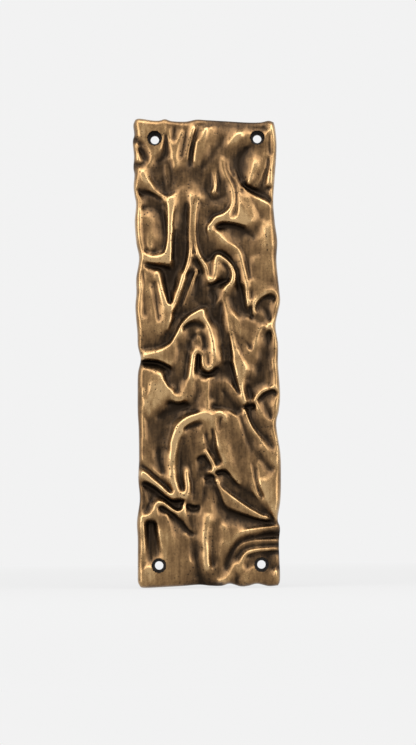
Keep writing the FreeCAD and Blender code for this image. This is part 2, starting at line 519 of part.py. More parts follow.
# Crevice lines and pocket floors, in the same form.
VALLEYS = {
    "hole_groove": (0.52, 0.52, [
        (34, 115.7), (33.9, 110.3), (34.4, 105.3),
    ]),
    "lens_floor": (0.3, 0.3, [
        (14.4, 102.8), (13.6, 98.9), (14.9, 94.4),
    ]),
    "vee_pit": (0.07, 0.11, [
        (-22.1, 44.4), (-21.4, 38), (-20.6, 31.5), (-20.2, 27.6),
    ]),
    "sweep_gap_one": (0.3, 0.09, [
        (8.2, -114.5), (11.2, -107.4), (14.8, -101.6), (19.4, -98.8), (27, -97.5), (37, -97.2),
    ]),
    "sweep_gap_two": (0.33, 0.22, [
        (13.4, -110.5), (16, -106), (20, -103.3), (28, -102.5), (37.4, -102),
    ]),
    "sweep_gap_three": (0.3, 0.19, [
        (20.2, -108), (25, -106.6), (31, -105.9), (36.7, -105.5),
    ]),
    "cell_top": (0.26, 0.22, [
        (-34, 84.6), (-30, 83.6), (-26, 81.6), (-22.6, 79),
    ]),
    "hollow_right": (0.3, 0.19, [
        (5.8, 100.5), (7, 94.5), (9.6, 89), (11.4, 83), (10.6, 78), (7.4, 74.7), (3.4, 73.7),
        (0.9, 69.7),
    ]),
    "loop_upper_floor": (0.19, 0.22, [
        (29, 25), (31.6, 22.1), (32.8, 18.1),
    ]),
    "facet_hollow": (0.28, 0.33, [
        (21, -16), (24, -18.5), (27.5, -18),
    ]),
    "strip_low": (0.37, 0.37, [
        (32.6, -9), (33, -14.6), (32, -19),
    ]),
    "line_gap": (0.59, 0.59, [
        (19, -32.5), (21, -38.4), (24, -44), (27.4, -48.5),
    ]),
    "tongue_outside": (0.48, 0.44, [
        (17, -33.4), (18.8, -39.4), (21, -46.3), (23.4, -52.3),
    ]),
    "tongue_groove": (0.22, 0.15, [
        (1.9, -40), (2.2, -46), (2.8, -51.3), (4.4, -57.3),
    ]),
    "tongue_below": (0.26, 0.22, [
        (4.4, -63.6), (7.9, -63.4), (11.9, -67.2), (16.4, -71.5), (20.9, -74.1), (25.4, -77.6),
        (30.4, -83.5), (34.4, -88.4),
    ]),
    "sweep_above": (0.33, 0.33, [
        (18, -92), (26, -91.4), (35, -91),
    ]),
    "wing_slot": (0.04, 0.07, [
        (-35.1, -3.8), (-29.6, -4), (-25.1, -5), (-21, -7.4),
    ]),
    "wing_above": (0.37, 0.3, [
        (-36.1, -59.4), (-32.6, -61.6), (-28.1, -65.6), (-23.6, -69.6), (-20.6, -73.4),
    ]),
    "channel_right": (0.26, 0.22, [
        (-10.2, 74), (-10.4, 66), (-10.6, 58), (-11.8, 50), (-14.2, 42.5), (-16.6, 36),
    ]),
    "cell_floor_low": (0.37, 0.37, [
        (-33, 55.6), (-28, 54.4), (-23.6, 55.6),
    ]),
    "lens_outside": (0.41, 0.41, [
        (14.4, 97.5), (17.2, 92), (18.8, 86),
    ]),
    "cave": (0.07, 0.22, [
        (6, 66.2), (9.6, 67), (13.6, 66.8), (17.4, 65.4), (21, 63), (24.6, 60.2),
    ]),
    "cave_floor": (0.41, 0.37, [
        (7.4, 64.4), (13.2, 60.4), (18.2, 56.6), (20.4, 52.4), (21.8, 45.9), (23, 40),
    ]),
    "oval_above": (0.26, 0.3, [
        (-21, -37), (-17.4, -33.8), (-12, -31), (-6.5, -30.2),
    ]),
    "oval_outside": (0.33, 0.41, [
        (-20.5, -39), (-22.5, -46), (-23, -51),
    ]),
    "oval_floor_right": (0.44, 0.41, [
        (-7.6, -43.4), (-9.1, -49.3), (-10.8, -55.3),
    ]),
    "foot_gap": (0.48, 0.41, [
        (-5.2, -85), (-6.2, -93), (-7.6, -100.9), (-7, -108.8), (-4.6, -116.8),
    ]),
    "nub_gap": (0.48, 0.41, [
        (19.8, -110.8), (19.6, -114),
    ]),
    "channel": (0.33, 0.09, [
        (-11, 80), (-11.6, 75), (-12.5, 69.7), (-13.4, 59.8), (-14.8, 51.9), (-17.2, 43.9),
        (-18.6, 35),
    ]),
    "arch_top_gap": (0.26, 0.3, [
        (0.6, 25), (1.8, 21.5), (2.8, 17.5),
    ]),
    "arch_core": (0.26, 0.26, [
        (-10, 3), (-8.8, 8.6), (-5.5, 10.6), (-2.6, 8), (-1.5, 3),
    ]),
    "deep_cave": (0, 0, [
        (-1.8, -66), (0.8, -65.4), (3.8, -66),
    ]),
    "deep_cave_low": (0.04, 0.07, [
        (-1.4, -68.4), (1, -68), (3.8, -69),
    ]),
    "leaf_left_out": (0.26, 0.19, [
        (3, -69.7), (5, -75.1), (7, -80.6), (9, -84.6),
    ]),
    "arch_outside": (0.19, 0.3, [
        (-1.1, 26.1), (-5.1, 24.4), (-10.6, 21.3), (-14.6, 16.9), (-17.6, 11.6), (-20.4, 6.8),
        (-24.1, 3.9), (-29.1, 1.6), (-34.6, 0.3),
    ]),
    "dark_band": (0.19, 0.37, [
        (-13.6, 23.1), (-18.1, 17.1), (-21.6, 11.7), (-24.6, 7.7),
    ]),
    "hollow_floor_mid": (0.44, 0.37, [
        (0.4, 77.7), (-0.8, 71), (-1, 63.8), (2.4, 57.8),
    ]),
    "hollow_floor": (0.33, 0.3, [
        (-3.1, 80.6), (-4.5, 73.7), (-4.8, 65.8), (-4, 57.8), (-2.2, 52.9), (-0.5, 50.3),
    ]),
    "hook_slope": (0.44, 0.37, [
        (13.4, 17.1), (14.6, 11.2), (16, 5.7), (17.6, -0.2),
    ]),
    "pocket_crease": (0.26, 0.04, [
        (-19.6, 102.5), (-19.1, 95.5), (-19, 89.1),
    ]),
    "panel_trough": (0.41, 0.22, [
        (9.3, 114.7), (2, 104.1), (-4.7, 96.8), (-11.4, 90.9), (-16.7, 87.5),
    ]),
    "roll_groove": (0.89, 0.89, [
        (-34, 97), (-33.6, 94), (-31.8, 90.6),
    ]),
    "plain_low": (0.37, 0.41, [
        (25.5, 36), (29, 34.8), (32.5, 35),
    ]),
    "meander_below": (0.26, 0.26, [
        (-20.5, -27), (-17, -28.4), (-13.4, -27),
    ]),
    "soft_gap": (0.44, 0.37, [
        (-6.2, -14.6), (-6.4, -20.5), (-7.6, -26.5),
    ]),
    "small_hook_pocket": (0.07, 0.19, [
        (-5.6, -56), (-3.4, -55), (-1.4, -57.4), (0.2, -60.6),
    ]),
    "small_hook_floor": (0.26, 0.22, [
        (-5.6, -61.5), (-2.6, -61.2),
    ]),
    "fork_trough": (0.37, 0.3, [
        (-21.4, 116.3), (-21.6, 111.4), (-22.1, 105.4), (-26.1, 102),
    ]),
    "spike_left": (0.33, 0.28, [
        (2.2, 95.5), (2.8, 90.6), (2, 87.1),
    ]),
    "spike_right": (0.33, 0.24, [
        (5.8, 96), (6.6, 90.6), (6.6, 86.2),
    ]),
    "hollow_pit": (0.28, 0.22, [
        (0.8, 84), (3.8, 82.4), (8, 83.8),
    ]),
    "cell_top_inside": (0.3, 0.3, [
        (-33.6, 78.1), (-29.6, 78.7), (-25.6, 77.1),
    ]),
    "strip_gap": (0.56, 0.52, [
        (-34.2, 43.9), (-34, 36), (-34.3, 28.1), (-33.4, 20.1),
    ]),
    "left_panel_low": (0.48, 0.41, [
        (-28.1, 38), (-27.1, 28.1), (-26.2, 18.1),
    ]),
    "slot": (0.26, 0.26, [
        (6.4, 16.2), (7.4, 9.2), (8.4, 2.3), (9, -3.7),
    ]),
    "slot_right": (0.3, 0.26, [
        (10.6, 10.2), (11.4, 3.3), (12, -2.7),
    ]),
    "slot_core": (0.11, 0.22, [
        (6.2, 16.8), (7.2, 13.2), (8, 9.2),
    ]),
    "strut_gap": (0.33, 0.22, [
        (6.9, 27.1), (6.4, 22.6), (6.6, 18.6),
    ]),
    "meander_pocket": (0.52, 0.48, [
        (0.2, 2.3), (0, -1.7), (0.2, -5.7),
    ]),
    "arch_inside": (0.19, 0.22, [
        (-12.6, 13.8), (-9.6, 15.6), (-5.6, 16), (-3, 14.2),
    ]),
    "arch_floor_left": (0.44, 0.33, [
        (-14.6, 4.3), (-15.1, -3.7), (-16.1, -11.6), (-16.6, -18.6),
    ]),
    "facet_floor": (0.41, 0.37, [
        (21, -13.2), (25.4, -15.6), (29.4, -14.6),
    ]),
    "post_slot": (0.07, 0.33, [
        (-32.6, -89.8), (-32.2, -95.9), (-32, -102.9), (-31.6, -108.8),
    ]),
    "post_slot_right": (0.11, 0.3, [
        (-30.2, -90), (-29.8, -95.9), (-29, -101.9), (-28.2, -106.9),
    ]),
    "foot_gap_right": (0.41, 0.37, [
        (1.8, -81.1), (1.6, -89), (0.6, -96.9), (-0.4, -104.9), (0.8, -112.8),
    ]),
    "foot_strip": (0.33, 0.33, [
        (-19.6, -119.3), (-12.6, -118.3), (-7.6, -119.7),
    ]),
    "pocket_left": (0.41, 0.19, [
        (-28.6, 98.5), (-28.1, 93.5), (-24.6, 89.1), (-21, 85.2),
    ]),
    "pocket_mid": (0.33, 0.15, [
        (-24.1, 99.5), (-23.6, 93.5), (-21.4, 87.6),
    ]),
    "pocket_right": (0.33, 0.19, [
        (-13, 98.5), (-13.1, 94.5), (-16.1, 89.6), (-19.2, 85.6),
    ]),
    "channel_left": (0.3, 0.19, [
        (-16.2, 65.8), (-17.2, 57.8), (-17.6, 50.9),
    ]),
    "cell_groove_right": (0.22, 0.3, [
        (-24.2, 76.3), (-22.4, 67.7), (-22.2, 59.8), (-23.8, 54.4),
    ]),
    "arch_floor": (0.52, 0.52, [
        (-10.6, 8.2), (-8.2, 6.2), (-8.2, 3.3),
    ]),
    "tail_gap": (0.26, 0.22, [
        (18, 8.8), (20.4, 5.2), (22.8, 2.3),
    ]),
    "lower_pocket": (0.15, 0.33, [
        (32.6, 11.2), (31.8, 4.3), (31.8, -1.7), (32.4, -7.7),
    ]),
    "dark_hollow": (0.07, 0.19, [
        (-10.6, -27.1), (-15.1, -28.5), (-19.6, -29.5), (-22.6, -32.5),
    ]),
    "grey_facet_floor": (0.3, 0.3, [
        (7.9, -67.7), (12.4, -71.3), (16.4, -74.5),
    ]),
    "star_cave": (0.04, 0.11, [
        (3.4, -63.6), (6.9, -63.2), (10.4, -64.8),
    ]),
    "pocket_b": (0.19, 0.07, [
        (19.9, 109.4), (16.9, 103.5), (17.2, 97.5), (19.6, 92.3),
    ]),
    "tongue_streak_right": (0.54, 0.57, [
        (13.4, -39.4), (14.8, -47.3), (17, -55.3),
    ]),
    "edge_pocket_top_left": (0.3, 0.26, [
        (-35.6, 109.4), (-33.1, 106.4), (-32.1, 103.5),
    ]),
    "edge_notch_top_left": (0.37, 0.37, [
        (-38, 114.4), (-36.4, 112.9), (-34.1, 111.4),
    ]),
    "edge_notch_two": (0.3, 0.33, [
        (-38, 101.5), (-36.6, 100.7), (-33.6, 101.7),
    ]),
    "fan_trough": (0.41, 0.3, [
        (-16.8, 120.3), (-17.2, 114.4),
    ]),
    "rib_trough_left": (0.33, 0.26, [
        (-10.6, 119.3), (-11.6, 112.4), (-13.2, 104.4),
    ]),
    "rib_trough_right": (0.37, 0.26, [
        (-4.2, 120.5), (-6.4, 113.9), (-7.9, 107.4), (-8.6, 100),
    ]),
    "below_roll": (0.22, 0.22, [
        (-36.6, 87.6), (-34.8, 85.8), (-31.6, 85.8), (-28.1, 84.6), (-24.6, 82.1),
    ]),
    "below_cell": (0.07, 0.04, [
        (-34.6, 48.1), (-29.6, 47.2), (-24.6, 46.1), (-20.1, 44.9),
    ]),
    "twin_groove": (0.59, 0.3, [
        (-7, 82.1), (-7.4, 75.7), (-7.8, 67.7), (-7.5, 59.3), (-6.9, 53.4),
    ]),
    "twin_gap": (0.26, 0.19, [
        (-6.4, 50.4), (-4.6, 46.4), (-3.6, 42.9),
    ]),
    "hollow_left": (0.41, 0.22, [
        (1.9, 96.5), (-0.4, 91.5), (-1.1, 87.6), (1.9, 84.1),
    ]),
    "above_hook": (0.15, 0.22, [
        (-0.5, 50.1), (2.3, 51.9), (5.4, 54.1), (8.6, 52.9), (12.6, 49.4), (15.6, 43.9),
        (16.4, 38),
    ]),
    "lens_gap": (0.48, 0.52, [
        (10, 101.5), (10.4, 98), (12.4, 94.1), (14.7, 90.6), (15.7, 85.6), (15.9, 79.6),
    ]),
    "pocket_b_low": (0.07, 0.19, [
        (19.4, 90.2), (22.9, 87.6), (26.9, 85.9), (31.4, 83.8), (34.4, 80.6),
    ]),
    "pocket_b_right": (0.37, 0.15, [
        (33.2, 103.5), (32.4, 98.5), (30.8, 93.5), (29.7, 88.1),
    ]),
    "edge_dark_right": (0.26, 0.26, [
        (31.4, 87.2), (34.6, 88.2),
    ]),
    "plain_corner": (0.48, 0.44, [
        (22.9, 34), (22.8, 29.1),
    ]),
    "loop_gap": (0.15, 0.11, [
        (22.8, 25.1), (23.2, 21.6), (23.6, 19.1),
    ]),
    "hook_side": (0.15, 0.22, [
        (16.9, 37), (17.9, 31), (18.9, 25.1), (21.2, 19.6),
    ]),
    "hook_side_low": (0.33, 0.3, [
        (12.9, 30), (14.4, 25.1), (17.9, 20.1),
    ]),
    "hook_pocket": (0.48, 0.41, [
        (8.9, 47.9), (11, 44.9), (11.4, 41.9), (9.4, 40),
    ]),
    "hook_under": (0.11, 0.15, [
        (0.6, 36.2), (3.9, 37.3), (7.4, 38), (10.9, 39.2),
    ]),
    "hook_under_low": (0.07, 0.15, [
        (1.4, 34), (3.6, 30.5), (2.9, 26.1),
    ]),
    "loop_pocket": (0.48, 0.48, [
        (1.6, 48.4), (1.3, 44.9), (1.3, 41.6),
    ]),
    "floor_panel": (0.22, 0.22, [
        (-5.1, 41), (-5.6, 35), (-6.6, 29.1), (-4.6, 27.1),
    ]),
    "stroke_gap_one": (0.26, 0.22, [
        (-9.6, 43.4), (-11.2, 38), (-12.8, 33), (-14.8, 27.1), (-18, 20.9),
    ]),
    "stroke_gap_two": (0.22, 0.19, [
        (-7.6, 43.9), (-9, 39), (-10.9, 33.5), (-13.4, 27.1),
    ]),
    "meander_slot": (0.07, 0.19, [
        (-5.2, -0.5), (-5.4, -4.7), (-5.9, -9.6),
    ]),
    "meander_under": (0.07, 0.07, [
        (-3, -9.8), (-0.4, -11.1), (2.6, -10), (5, -8.2),
    ]),
    "slot_low": (0.11, 0.22, [
        (9.2, -5.3), (11.4, -5.7), (12.4, -9.6), (14, -15.6), (16, -21.5),
    ]),
    "wing_slot_low": (0.15, 0.3, [
        (-20.6, -8.6), (-22.6, -12.6), (-20.4, -17.1),
    ]),
    "left_hollow": (0.3, 0.26, [
        (-24.1, -37.4), (-26.1, -46.3), (-26.6, -55.3), (-24.6, -63.2),
    ]),
    "spine_gap": (0.37, 0.37, [
        (1.4, -13.6), (1.4, -18.6), (1.6, -23.5),
    ]),
    "spine_right": (0.22, 0.26, [
        (5, -16.6), (6.9, -22.5), (5.4, -28),
    ]),
    "return_below": (0.22, 0.22, [
        (7.4, -19.6), (10.4, -23), (13.9, -27.5), (16.4, -30.5),
    ]),
    "tongue_top": (0.26, 0.3, [
        (2.4, -29), (6.9, -29.3), (11.4, -29.9), (14.9, -32.5),
    ]),
    "tongue_finger_gap": (0.48, 0.56, [
        (7, -33.4), (5.5, -36.9), (5.2, -40.9),
    ]),
    "right_dark": (0.37, 0.33, [
        (28.9, 2.3), (28.4, -4.7), (26.4, -10.6),
    ]),
    "loop_upper_top": (0.22, 0.22, [
        (26.1, 23.1), (28.9, 28.1), (32.9, 30.3), (35.6, 28.7),
    ]),
    "cave_two": (0, 0.04, [
        (19.4, -28.5), (21.9, -28.5), (24.4, -27.9),
    ]),
    "loop_lower_top": (0.22, 0.22, [
        (26.9, -25), (29.9, -21.9), (33.9, -20.4), (36, -21.9),
    ]),
    "loop_lower_floor": (0.41, 0.37, [
        (30.4, -26.5), (31.9, -30.5), (33.2, -34.4),
    ]),
    "channel_two": (0.11, 0.3, [
        (21, -30.5), (22.9, -36.4), (26.7, -41.7), (31, -45.9), (34.2, -50.3),
    ]),
    "oval_top": (0.15, 0.22, [
        (-12.6, -39.4), (-8.6, -37.9), (-4.6, -36.6), (-2.1, -37.9),
    ]),
    "oval_floor": (0.33, 0.3, [
        (-13.6, -44.4), (-15.2, -52.3), (-15.6, -59.2), (-15.3, -67.2), (-14.2, -72.1),
    ]),
    "oval_mid": (0.37, 0.3, [
        (-1.6, -42.4), (-0.8, -47.3), (1.4, -53.3),
    ]),
    "small_hook_gap": (0.26, 0.3, [
        (-10.3, -57.3), (-10.4, -64.2), (-8.8, -69.2), (-8.6, -74.1),
    ]),
    "deep_trough": (0.19, 0.26, [
        (-3, -71.1), (-3.2, -77.1), (-4.6, -83),
    ]),
    "lobe_under": (0.04, 0.07, [
        (-11.9, -80.6), (-9.1, -82.3), (-5.8, -81.5),
    ]),
    "small_lobe_floor": (0.41, 0.41, [
        (-8, -71.6), (-8.6, -77.6),
    ]),
    "bridge_over": (0.26, 0.3, [
        (3.8, -58.6), (5.4, -56.9),
    ]),
    "leaf_above": (0.3, 0.3, [
        (5.6, -69.7), (10.4, -73.4), (16.4, -77.9), (23.4, -82.6), (29.4, -86.4),
    ]),
    "leaf_below": (0.07, 0.19, [
        (8, -82.1), (9.4, -84), (13.9, -85.6), (19.4, -87.4), (26.4, -89), (33.4, -90.2),
    ]),
    "petal_gap": (0.41, 0.48, [
        (23, -58.2), (24.4, -65.2), (25.6, -71.1), (27.8, -76.7),
    ]),
    "petal_top": (0.41, 0.41, [
        (26.4, -53.3), (29.4, -57.7), (33.4, -62.2),
    ]),
    "wing_below": (0.11, 0, [
        (-35, -68.8), (-30.6, -71.1), (-25.6, -74.8), (-21.1, -78), (-17.1, -79.1), (-14, -78.3),
    ]),
    "wave_hollow": (0.19, 0.33, [
        (-31.1, -77.1), (-33.1, -81.6), (-34.1, -84),
    ]),
    "wave_hollow_right": (0.04, 0.07, [
        (-22.1, -78.7), (-18.1, -81.6), (-15.4, -81.3),
    ]),
    "wave_below": (0.19, 0.22, [
        (-26.2, -81.5), (-20.6, -85), (-16.2, -89.4), (-12.2, -93.6), (-8.1, -96.3),
    ]),
    "wave_tail_right": (0.26, 0.3, [
        (-11.2, -84), (-10.6, -88), (-8.2, -92.5),
    ]),
    "right_notch": (0.33, 0.26, [
        (31.4, -114.2), (36.6, -114.2),
    ]),
    "foot_notch": (0.33, 0.33, [
        (14.4, -116.8), (14, -121.7),
    ]),
}

OUTLINE = LEFT_EDGE + RIGHT_EDGE + TOP_EDGE + BOTTOM_EDGE
HALF_ACROSS = max(abs(across) for across, up in OUTLINE) + GRID_MARGIN
HALF_UP = max(abs(up) for across, up in OUTLINE) + GRID_MARGIN

document = FreeCAD.newDocument("finger_plate")


def driving_sheet():
    """Sheet of the real sizes in millimetres."""
    sheet = document.addObject("Spreadsheet::Sheet", "dimensions")
    sizes = [
        ("plate_width", "77.8"),
        ("plate_length", "250.2"),
        ("floor_height", "2.8"),
        ("crest_height", "9.6"),
        ("edge_land", "2.4"),
        ("screw_spacing_across", "54.6"),
        ("screw_spacing_up", "227"),
        ("screw_row_offset", "1.2"),
        ("screw_hole_diameter", "4.5"),
        ("screw_head_diameter", "7.4"),
        ("screw_seat_height", "2.2"),
        ("screw_clear_height", "20"),
    ]
    for number, (alias, value) in enumerate(sizes, start=1):
        sheet.set("A%d" % number, alias.replace("_", " "))
        sheet.set("B%d" % number, value)
        sheet.setAlias("B%d" % number, alias)
    document.recompute()
    return sheet


def smooth_line(points, spacing):
    """Points close together on a smooth curve through the given points."""
    before = [tuple(2 * a - b for a, b in zip(points[0], points[1]))]
    after = [tuple(2 * a - b for a, b in zip(points[-1], points[-2]))]
    run = before + list(points) + after
    line = []
    for index in range(1, len(run) - 2):
        p0, p1, p2, p3 = run[index - 1:index + 3]
        steps = max(2, int(math.hypot(p2[0] - p1[0], p2[1] - p1[1]) / spacing))
        for step in range(steps):
            t = step / steps
            line.append(tuple(
                b + 0.5 * t * ((c - a) + t * (2 * a - 5 * b + 4 * c - d + t * (3 * (b - c) + d - a)))
                for a, b, c, d in zip(p0, p1, p2, p3)))
    line.append(tuple(points[-1]))
    return line


def pull_on_cells(rows, columns):
    """Pull of every fold line on the cells it crosses: strength, and strength times level."""
    strength = [[0.0] * columns for _ in range(rows)]
    moment = [[0.0] * columns for _ in range(rows)]
    for group, pull in ((CRESTS, CREST_PULL), (VALLEYS, VALLEY_PULL)):
        for first, last, points in group.values():
            line = smooth_line(points, 0.4 * CELL)
            for place, (across, up) in enumerate(line):
                level = first + (last - first) * place / (len(line) - 1)
                column = (across + HALF_ACROSS) / CELL
                row = (up + HALF_UP) / CELL
                for r in (int(row), int(row) + 1):
                    for c in (int(column), int(column) + 1):
                        share = pull * (1 - abs(row - r)) * (1 - abs(column - c))
                        strength[r][c] += share
                        moment[r][c] += share * level
    return strength, moment


def relaxed_skin():
    """Levels of the skin on a square grid, at rest between the pulls of the fold lines."""
    rows = int(2 * HALF_UP / CELL) + 2
    columns = int(2 * HALF_ACROSS / CELL) + 2
    strength, moment = pull_on_cells(rows, columns)
    skin = [[LEVEL_AT_REST] * columns for _ in range(rows)]
    for _ in range(RELAX_ROUNDS):
        for r in range(rows):
            here = skin[r]
            above = skin[min(r + 1, rows - 1)]
            below = skin[max(r - 1, 0)]
            pulls = strength[r]
            moments = moment[r]
            for c in range(columns):
                around = above[c] + below[c] + here[max(c - 1, 0)] + here[min(c + 1, columns - 1)]
                rest = (around + moments[c]) / (4 + pulls[c])
                here[c] += OVER_RELAX * (rest - here[c])
    for _ in range(SOFTEN_ROUNDS):
        skin = softened(skin)
    return skin


def softened(skin):
    """The skin with every cell averaged with its neighbours, which rounds the crests."""
    rows = len(skin)
    columns = len(skin[0])
    fresh = []
    for r in range(rows):
        above = skin[min(r + 1, rows - 1)]
        below = skin[max(r - 1, 0)]
        line = [0.25 * (above[c] + below[c]) + 0.5 * skin[r][c] for c in range(columns)]
        fresh.append([
            0.25 * (line[max(c - 1, 0)] + line[min(c + 1, columns - 1)]) + 0.5 * line[c]
            for c in range(columns)])
    return fresh


def skin_level(skin, across, up):
    """Level of the skin at a place on the pattern."""
    column = min(max((across + HALF_ACROSS) / CELL, 0), len(skin[0]) - 1.001)
    row = min(max((up + HALF_UP) / CELL, 0), len(skin) - 1.001)
    c = int(column)
    r = int(row)
    low = skin[r][c] + (skin[r][c + 1] - skin[r][c]) * (column - c)
    high = skin[r + 1][c] + (skin[r + 1][c + 1] - skin[r + 1][c]) * (column - c)
    return low + (high - low) * (row - r)


def evenly_along(points, count):
    """Count points at even steps along a smooth curve, ends included."""
    line = smooth_line(points, 0.25)
    travelled = [0.0]
    for a, b in zip(line, line[1:]):
        travelled.append(travelled[-1] + math.hypot(b[0] - a[0], b[1] - a[1]))
    result = []
    index = 0
    for number in range(count):
        want = travelled[-1] * number / (count - 1)
        while index < len(line) - 2 and travelled[index + 1] < want:
            index += 1
        gap = travelled[index + 1] - travelled[index]
        t = (want - travelled[index]) / gap
        a, b = line[index], line[index + 1]
        result.append((a[0] + (b[0] - a[0]) * t, a[1] + (b[1] - a[1]) * t))
    return result


def plan_grid():
    """Places of the control points on the pattern, spread inside the wavy outline."""
    low = evenly_along(BOTTOM_EDGE, POINTS_ACROSS)
    high = evenly_along(TOP_EDGE, POINTS_ACROSS)
    left = evenly_along(list(reversed(LEFT_EDGE)), POINTS_UP)
    right = evenly_along(list(reversed(RIGHT_EDGE)), POINTS_UP)
    grid = []
    for i in range(POINTS_ACROSS):
        u = i / (POINTS_ACROSS - 1)
        column = []
        for j in range(POINTS_UP):
            v = j / (POINTS_UP - 1)
            place = []
            for axis in (0, 1):
                across = (1 - u) * left[j][axis] + u * right[j][axis]
                along = (1 - v) * low[i][axis] + v * high[i][axis]
                corners = ((1 - u) * (1 - v) * low[0][axis] + u * (1 - v) * low[-1][axis]
                           + (1 - u) * v * high[0][axis] + u * v * high[-1][axis])
                place.append(across + along - corners)
            column.append(tuple(place))
        grid.append(column)
    return grid


def spread(grid, axis):
    """Overall size of the drawn pattern, across or up."""
    values = [place[axis] for column in grid for place in column]
    return max(values) - min(values)


def front_points(sheet):
    """Corners of the front facets, column by column; the outer ring is the rolled edge."""
    skin = relaxed_skin()
    grid = plan_grid()
    width_scale = sheet.get("plate_width") / spread(grid, 0)
    length_scale = sheet.get("plate_length") / spread(grid, 1)
    floor_height = sheet.get("floor_height")
    relief = sheet.get("crest_height") - floor_height
    edge_land = sheet.get("edge_land")
    columns = []
    for i, places in enumerate(grid):
        column = []
        for j, (across, up) in enumerate(places):
            on_side = i in (0, POINTS_ACROSS - 1)
            on_end = j in (0, POINTS_UP - 1)
            inner_across = across - on_side * math.copysign(ROLL_INSET, across)
            inner_up = up - on_end * math.copysign(ROLL_INSET, up)
            height = floor_height + relief * skin_level(skin, inner_across, inner_up)
            if on_side or on_end:
                height = edge_land + ROLL_SHARE * (height - edge_land)
            column.append(FreeCAD.Vector(across * width_scale, -height, up * length_scale))
        columns.append(column)
    return columns


def front_facets(points):
    """Two triangles in every cell, split along the diagonal that follows the fold."""
    facets = []
    for i in range(POINTS_ACROSS - 1):
        for j in range(POINTS_UP - 1):
            a, b = points[i][j], points[i + 1][j]
            c, d = points[i + 1][j + 1], points[i][j + 1]
            if abs(a.y - c.y) < abs(b.y - d.y):
                facets += [(a, b, c), (a, c, d)]
            else:
                facets += [(a, b, d), (b, c, d)]
    return facets


def rim_of(points):
    """The outer ring of the front, once round."""
    low = [column[0] for column in points]
    right = points[-1][1:]
    high = [column[-1] for column in reversed(points[:-1])]
    left = list(reversed(points[0][1:-1]))
    return low + right + high + left


def cast_blank(sheet):
    """Plate with its folds and rolled edge, before the screw holes."""
    points = front_points(sheet)
    rim = rim_of(points)
    foot = [FreeCAD.Vector(point.x, 0, point.z) for point in rim]
    count = len(rim)
    outlines = front_facets(points)
    outlines += [(foot[n], foot[(n + 1) % count], rim[(n + 1) % count], rim[n]) for n in range(count)]
    outlines.append(tuple(foot))
    faces = [Part.Face(Part.makePolygon(outline + (outline[0],))) for outline in outlines]
    skin = Part.Compound(faces)
    skin.sewShape()
    blank = document.addObject("Part::Feature", "cast_blank")
    blank.Shape = Part.Solid(Part.Shell(skin.Faces))
    blank.Label = "cast_blank"
    return blank


def screw_hole(name, across_sign, up_sign):
    """One screw hole: shank, conical seat and the clearance for the head."""
    x_rule = "%d * dimensions.screw_spacing_across / 2" % across_sign
    z_rule = "dimensions.screw_row_offset + %d * dimensions.screw_spacing_up / 2" % up_sign
    shank_radius = "dimensions.screw_hole_diameter / 2"
    head_radius = "dimensions.screw_head_diameter / 2"
    seat_depth = "(dimensions.screw_head_diameter - dimensions.screw_hole_diameter) / 2"
    shank = document.addObject("Part::Cylinder", name + "_shank")
    seat = document.addObject("Part::Cone", name + "_seat")
    clearance = document.addObject("Part::Cylinder", name + "_clearance")
    shank.setExpression("Radius", shank_radius)
    shank.setExpression("Height", "dimensions.screw_clear_height")
    seat.setExpression("Radius1", shank_radius)
    seat.setExpression("Radius2", head_radius)
    seat.setExpression("Height", seat_depth)
    clearance.setExpression("Radius", head_radius)
    clearance.setExpression("Height", "dimensions.screw_clear_height")
    starts = [
        (shank, "dimensions.screw_clear_height / 2"),
        (seat, "-dimensions.screw_seat_height"),
        (clearance, "-dimensions.screw_seat_height - " + seat_depth),
    ]
    for tool, y_rule in starts:
        tool.Placement.Rotation = FreeCAD.Rotation(FreeCAD.Vector(1, 0, 0), 90)
        tool.setExpression("Placement.Base.x", x_rule)
        tool.setExpression("Placement.Base.y", y_rule)
        tool.setExpression("Placement.Base.z", z_rule)
    hole = document.addObject("Part::MultiFuse", name)
    hole.Shapes = [shank, seat, clearance]
    hole.Label = name
    return hole


def drilled_plate(blank):
    """The finished plate: the blank with its four screw holes."""
    holes = []
    for up_name, up_sign in (("top", 1), ("bottom", -1)):
        for side_name, side_sign in (("left", -1), ("right", 1)):
            holes.append(screw_hole("%s_%s_hole" % (up_name, side_name), side_sign, up_sign))
    all_holes = document.addObject("Part::MultiFuse", "screw_holes")
    all_holes.Shapes = holes
    plate = document.addObject("Part::Cut", "finger_plate")
    plate.Base = blank
    plate.Tool = all_holes
    plate.Label = "finger_plate"
    return plate


def check_objects():
    """Stops when any object of the document is broken or empty."""
    for item in document.Objects:
        if "Invalid" in item.State or "Error" in item.State:
            raise RuntimeError("broken object: " + item.Label)
        if hasattr(item, "Shape") and (item.Shape.isNull() or not item.Shape.isValid()):
            raise RuntimeError("bad shape: " + item.Label)


sheet = driving_sheet()
plate = drilled_plate(cast_blank(sheet))
document.recompute()
check_objects()
os.makedirs("parts", exist_ok=True)
plate.Shape.exportStep("parts/finger_plate.step")
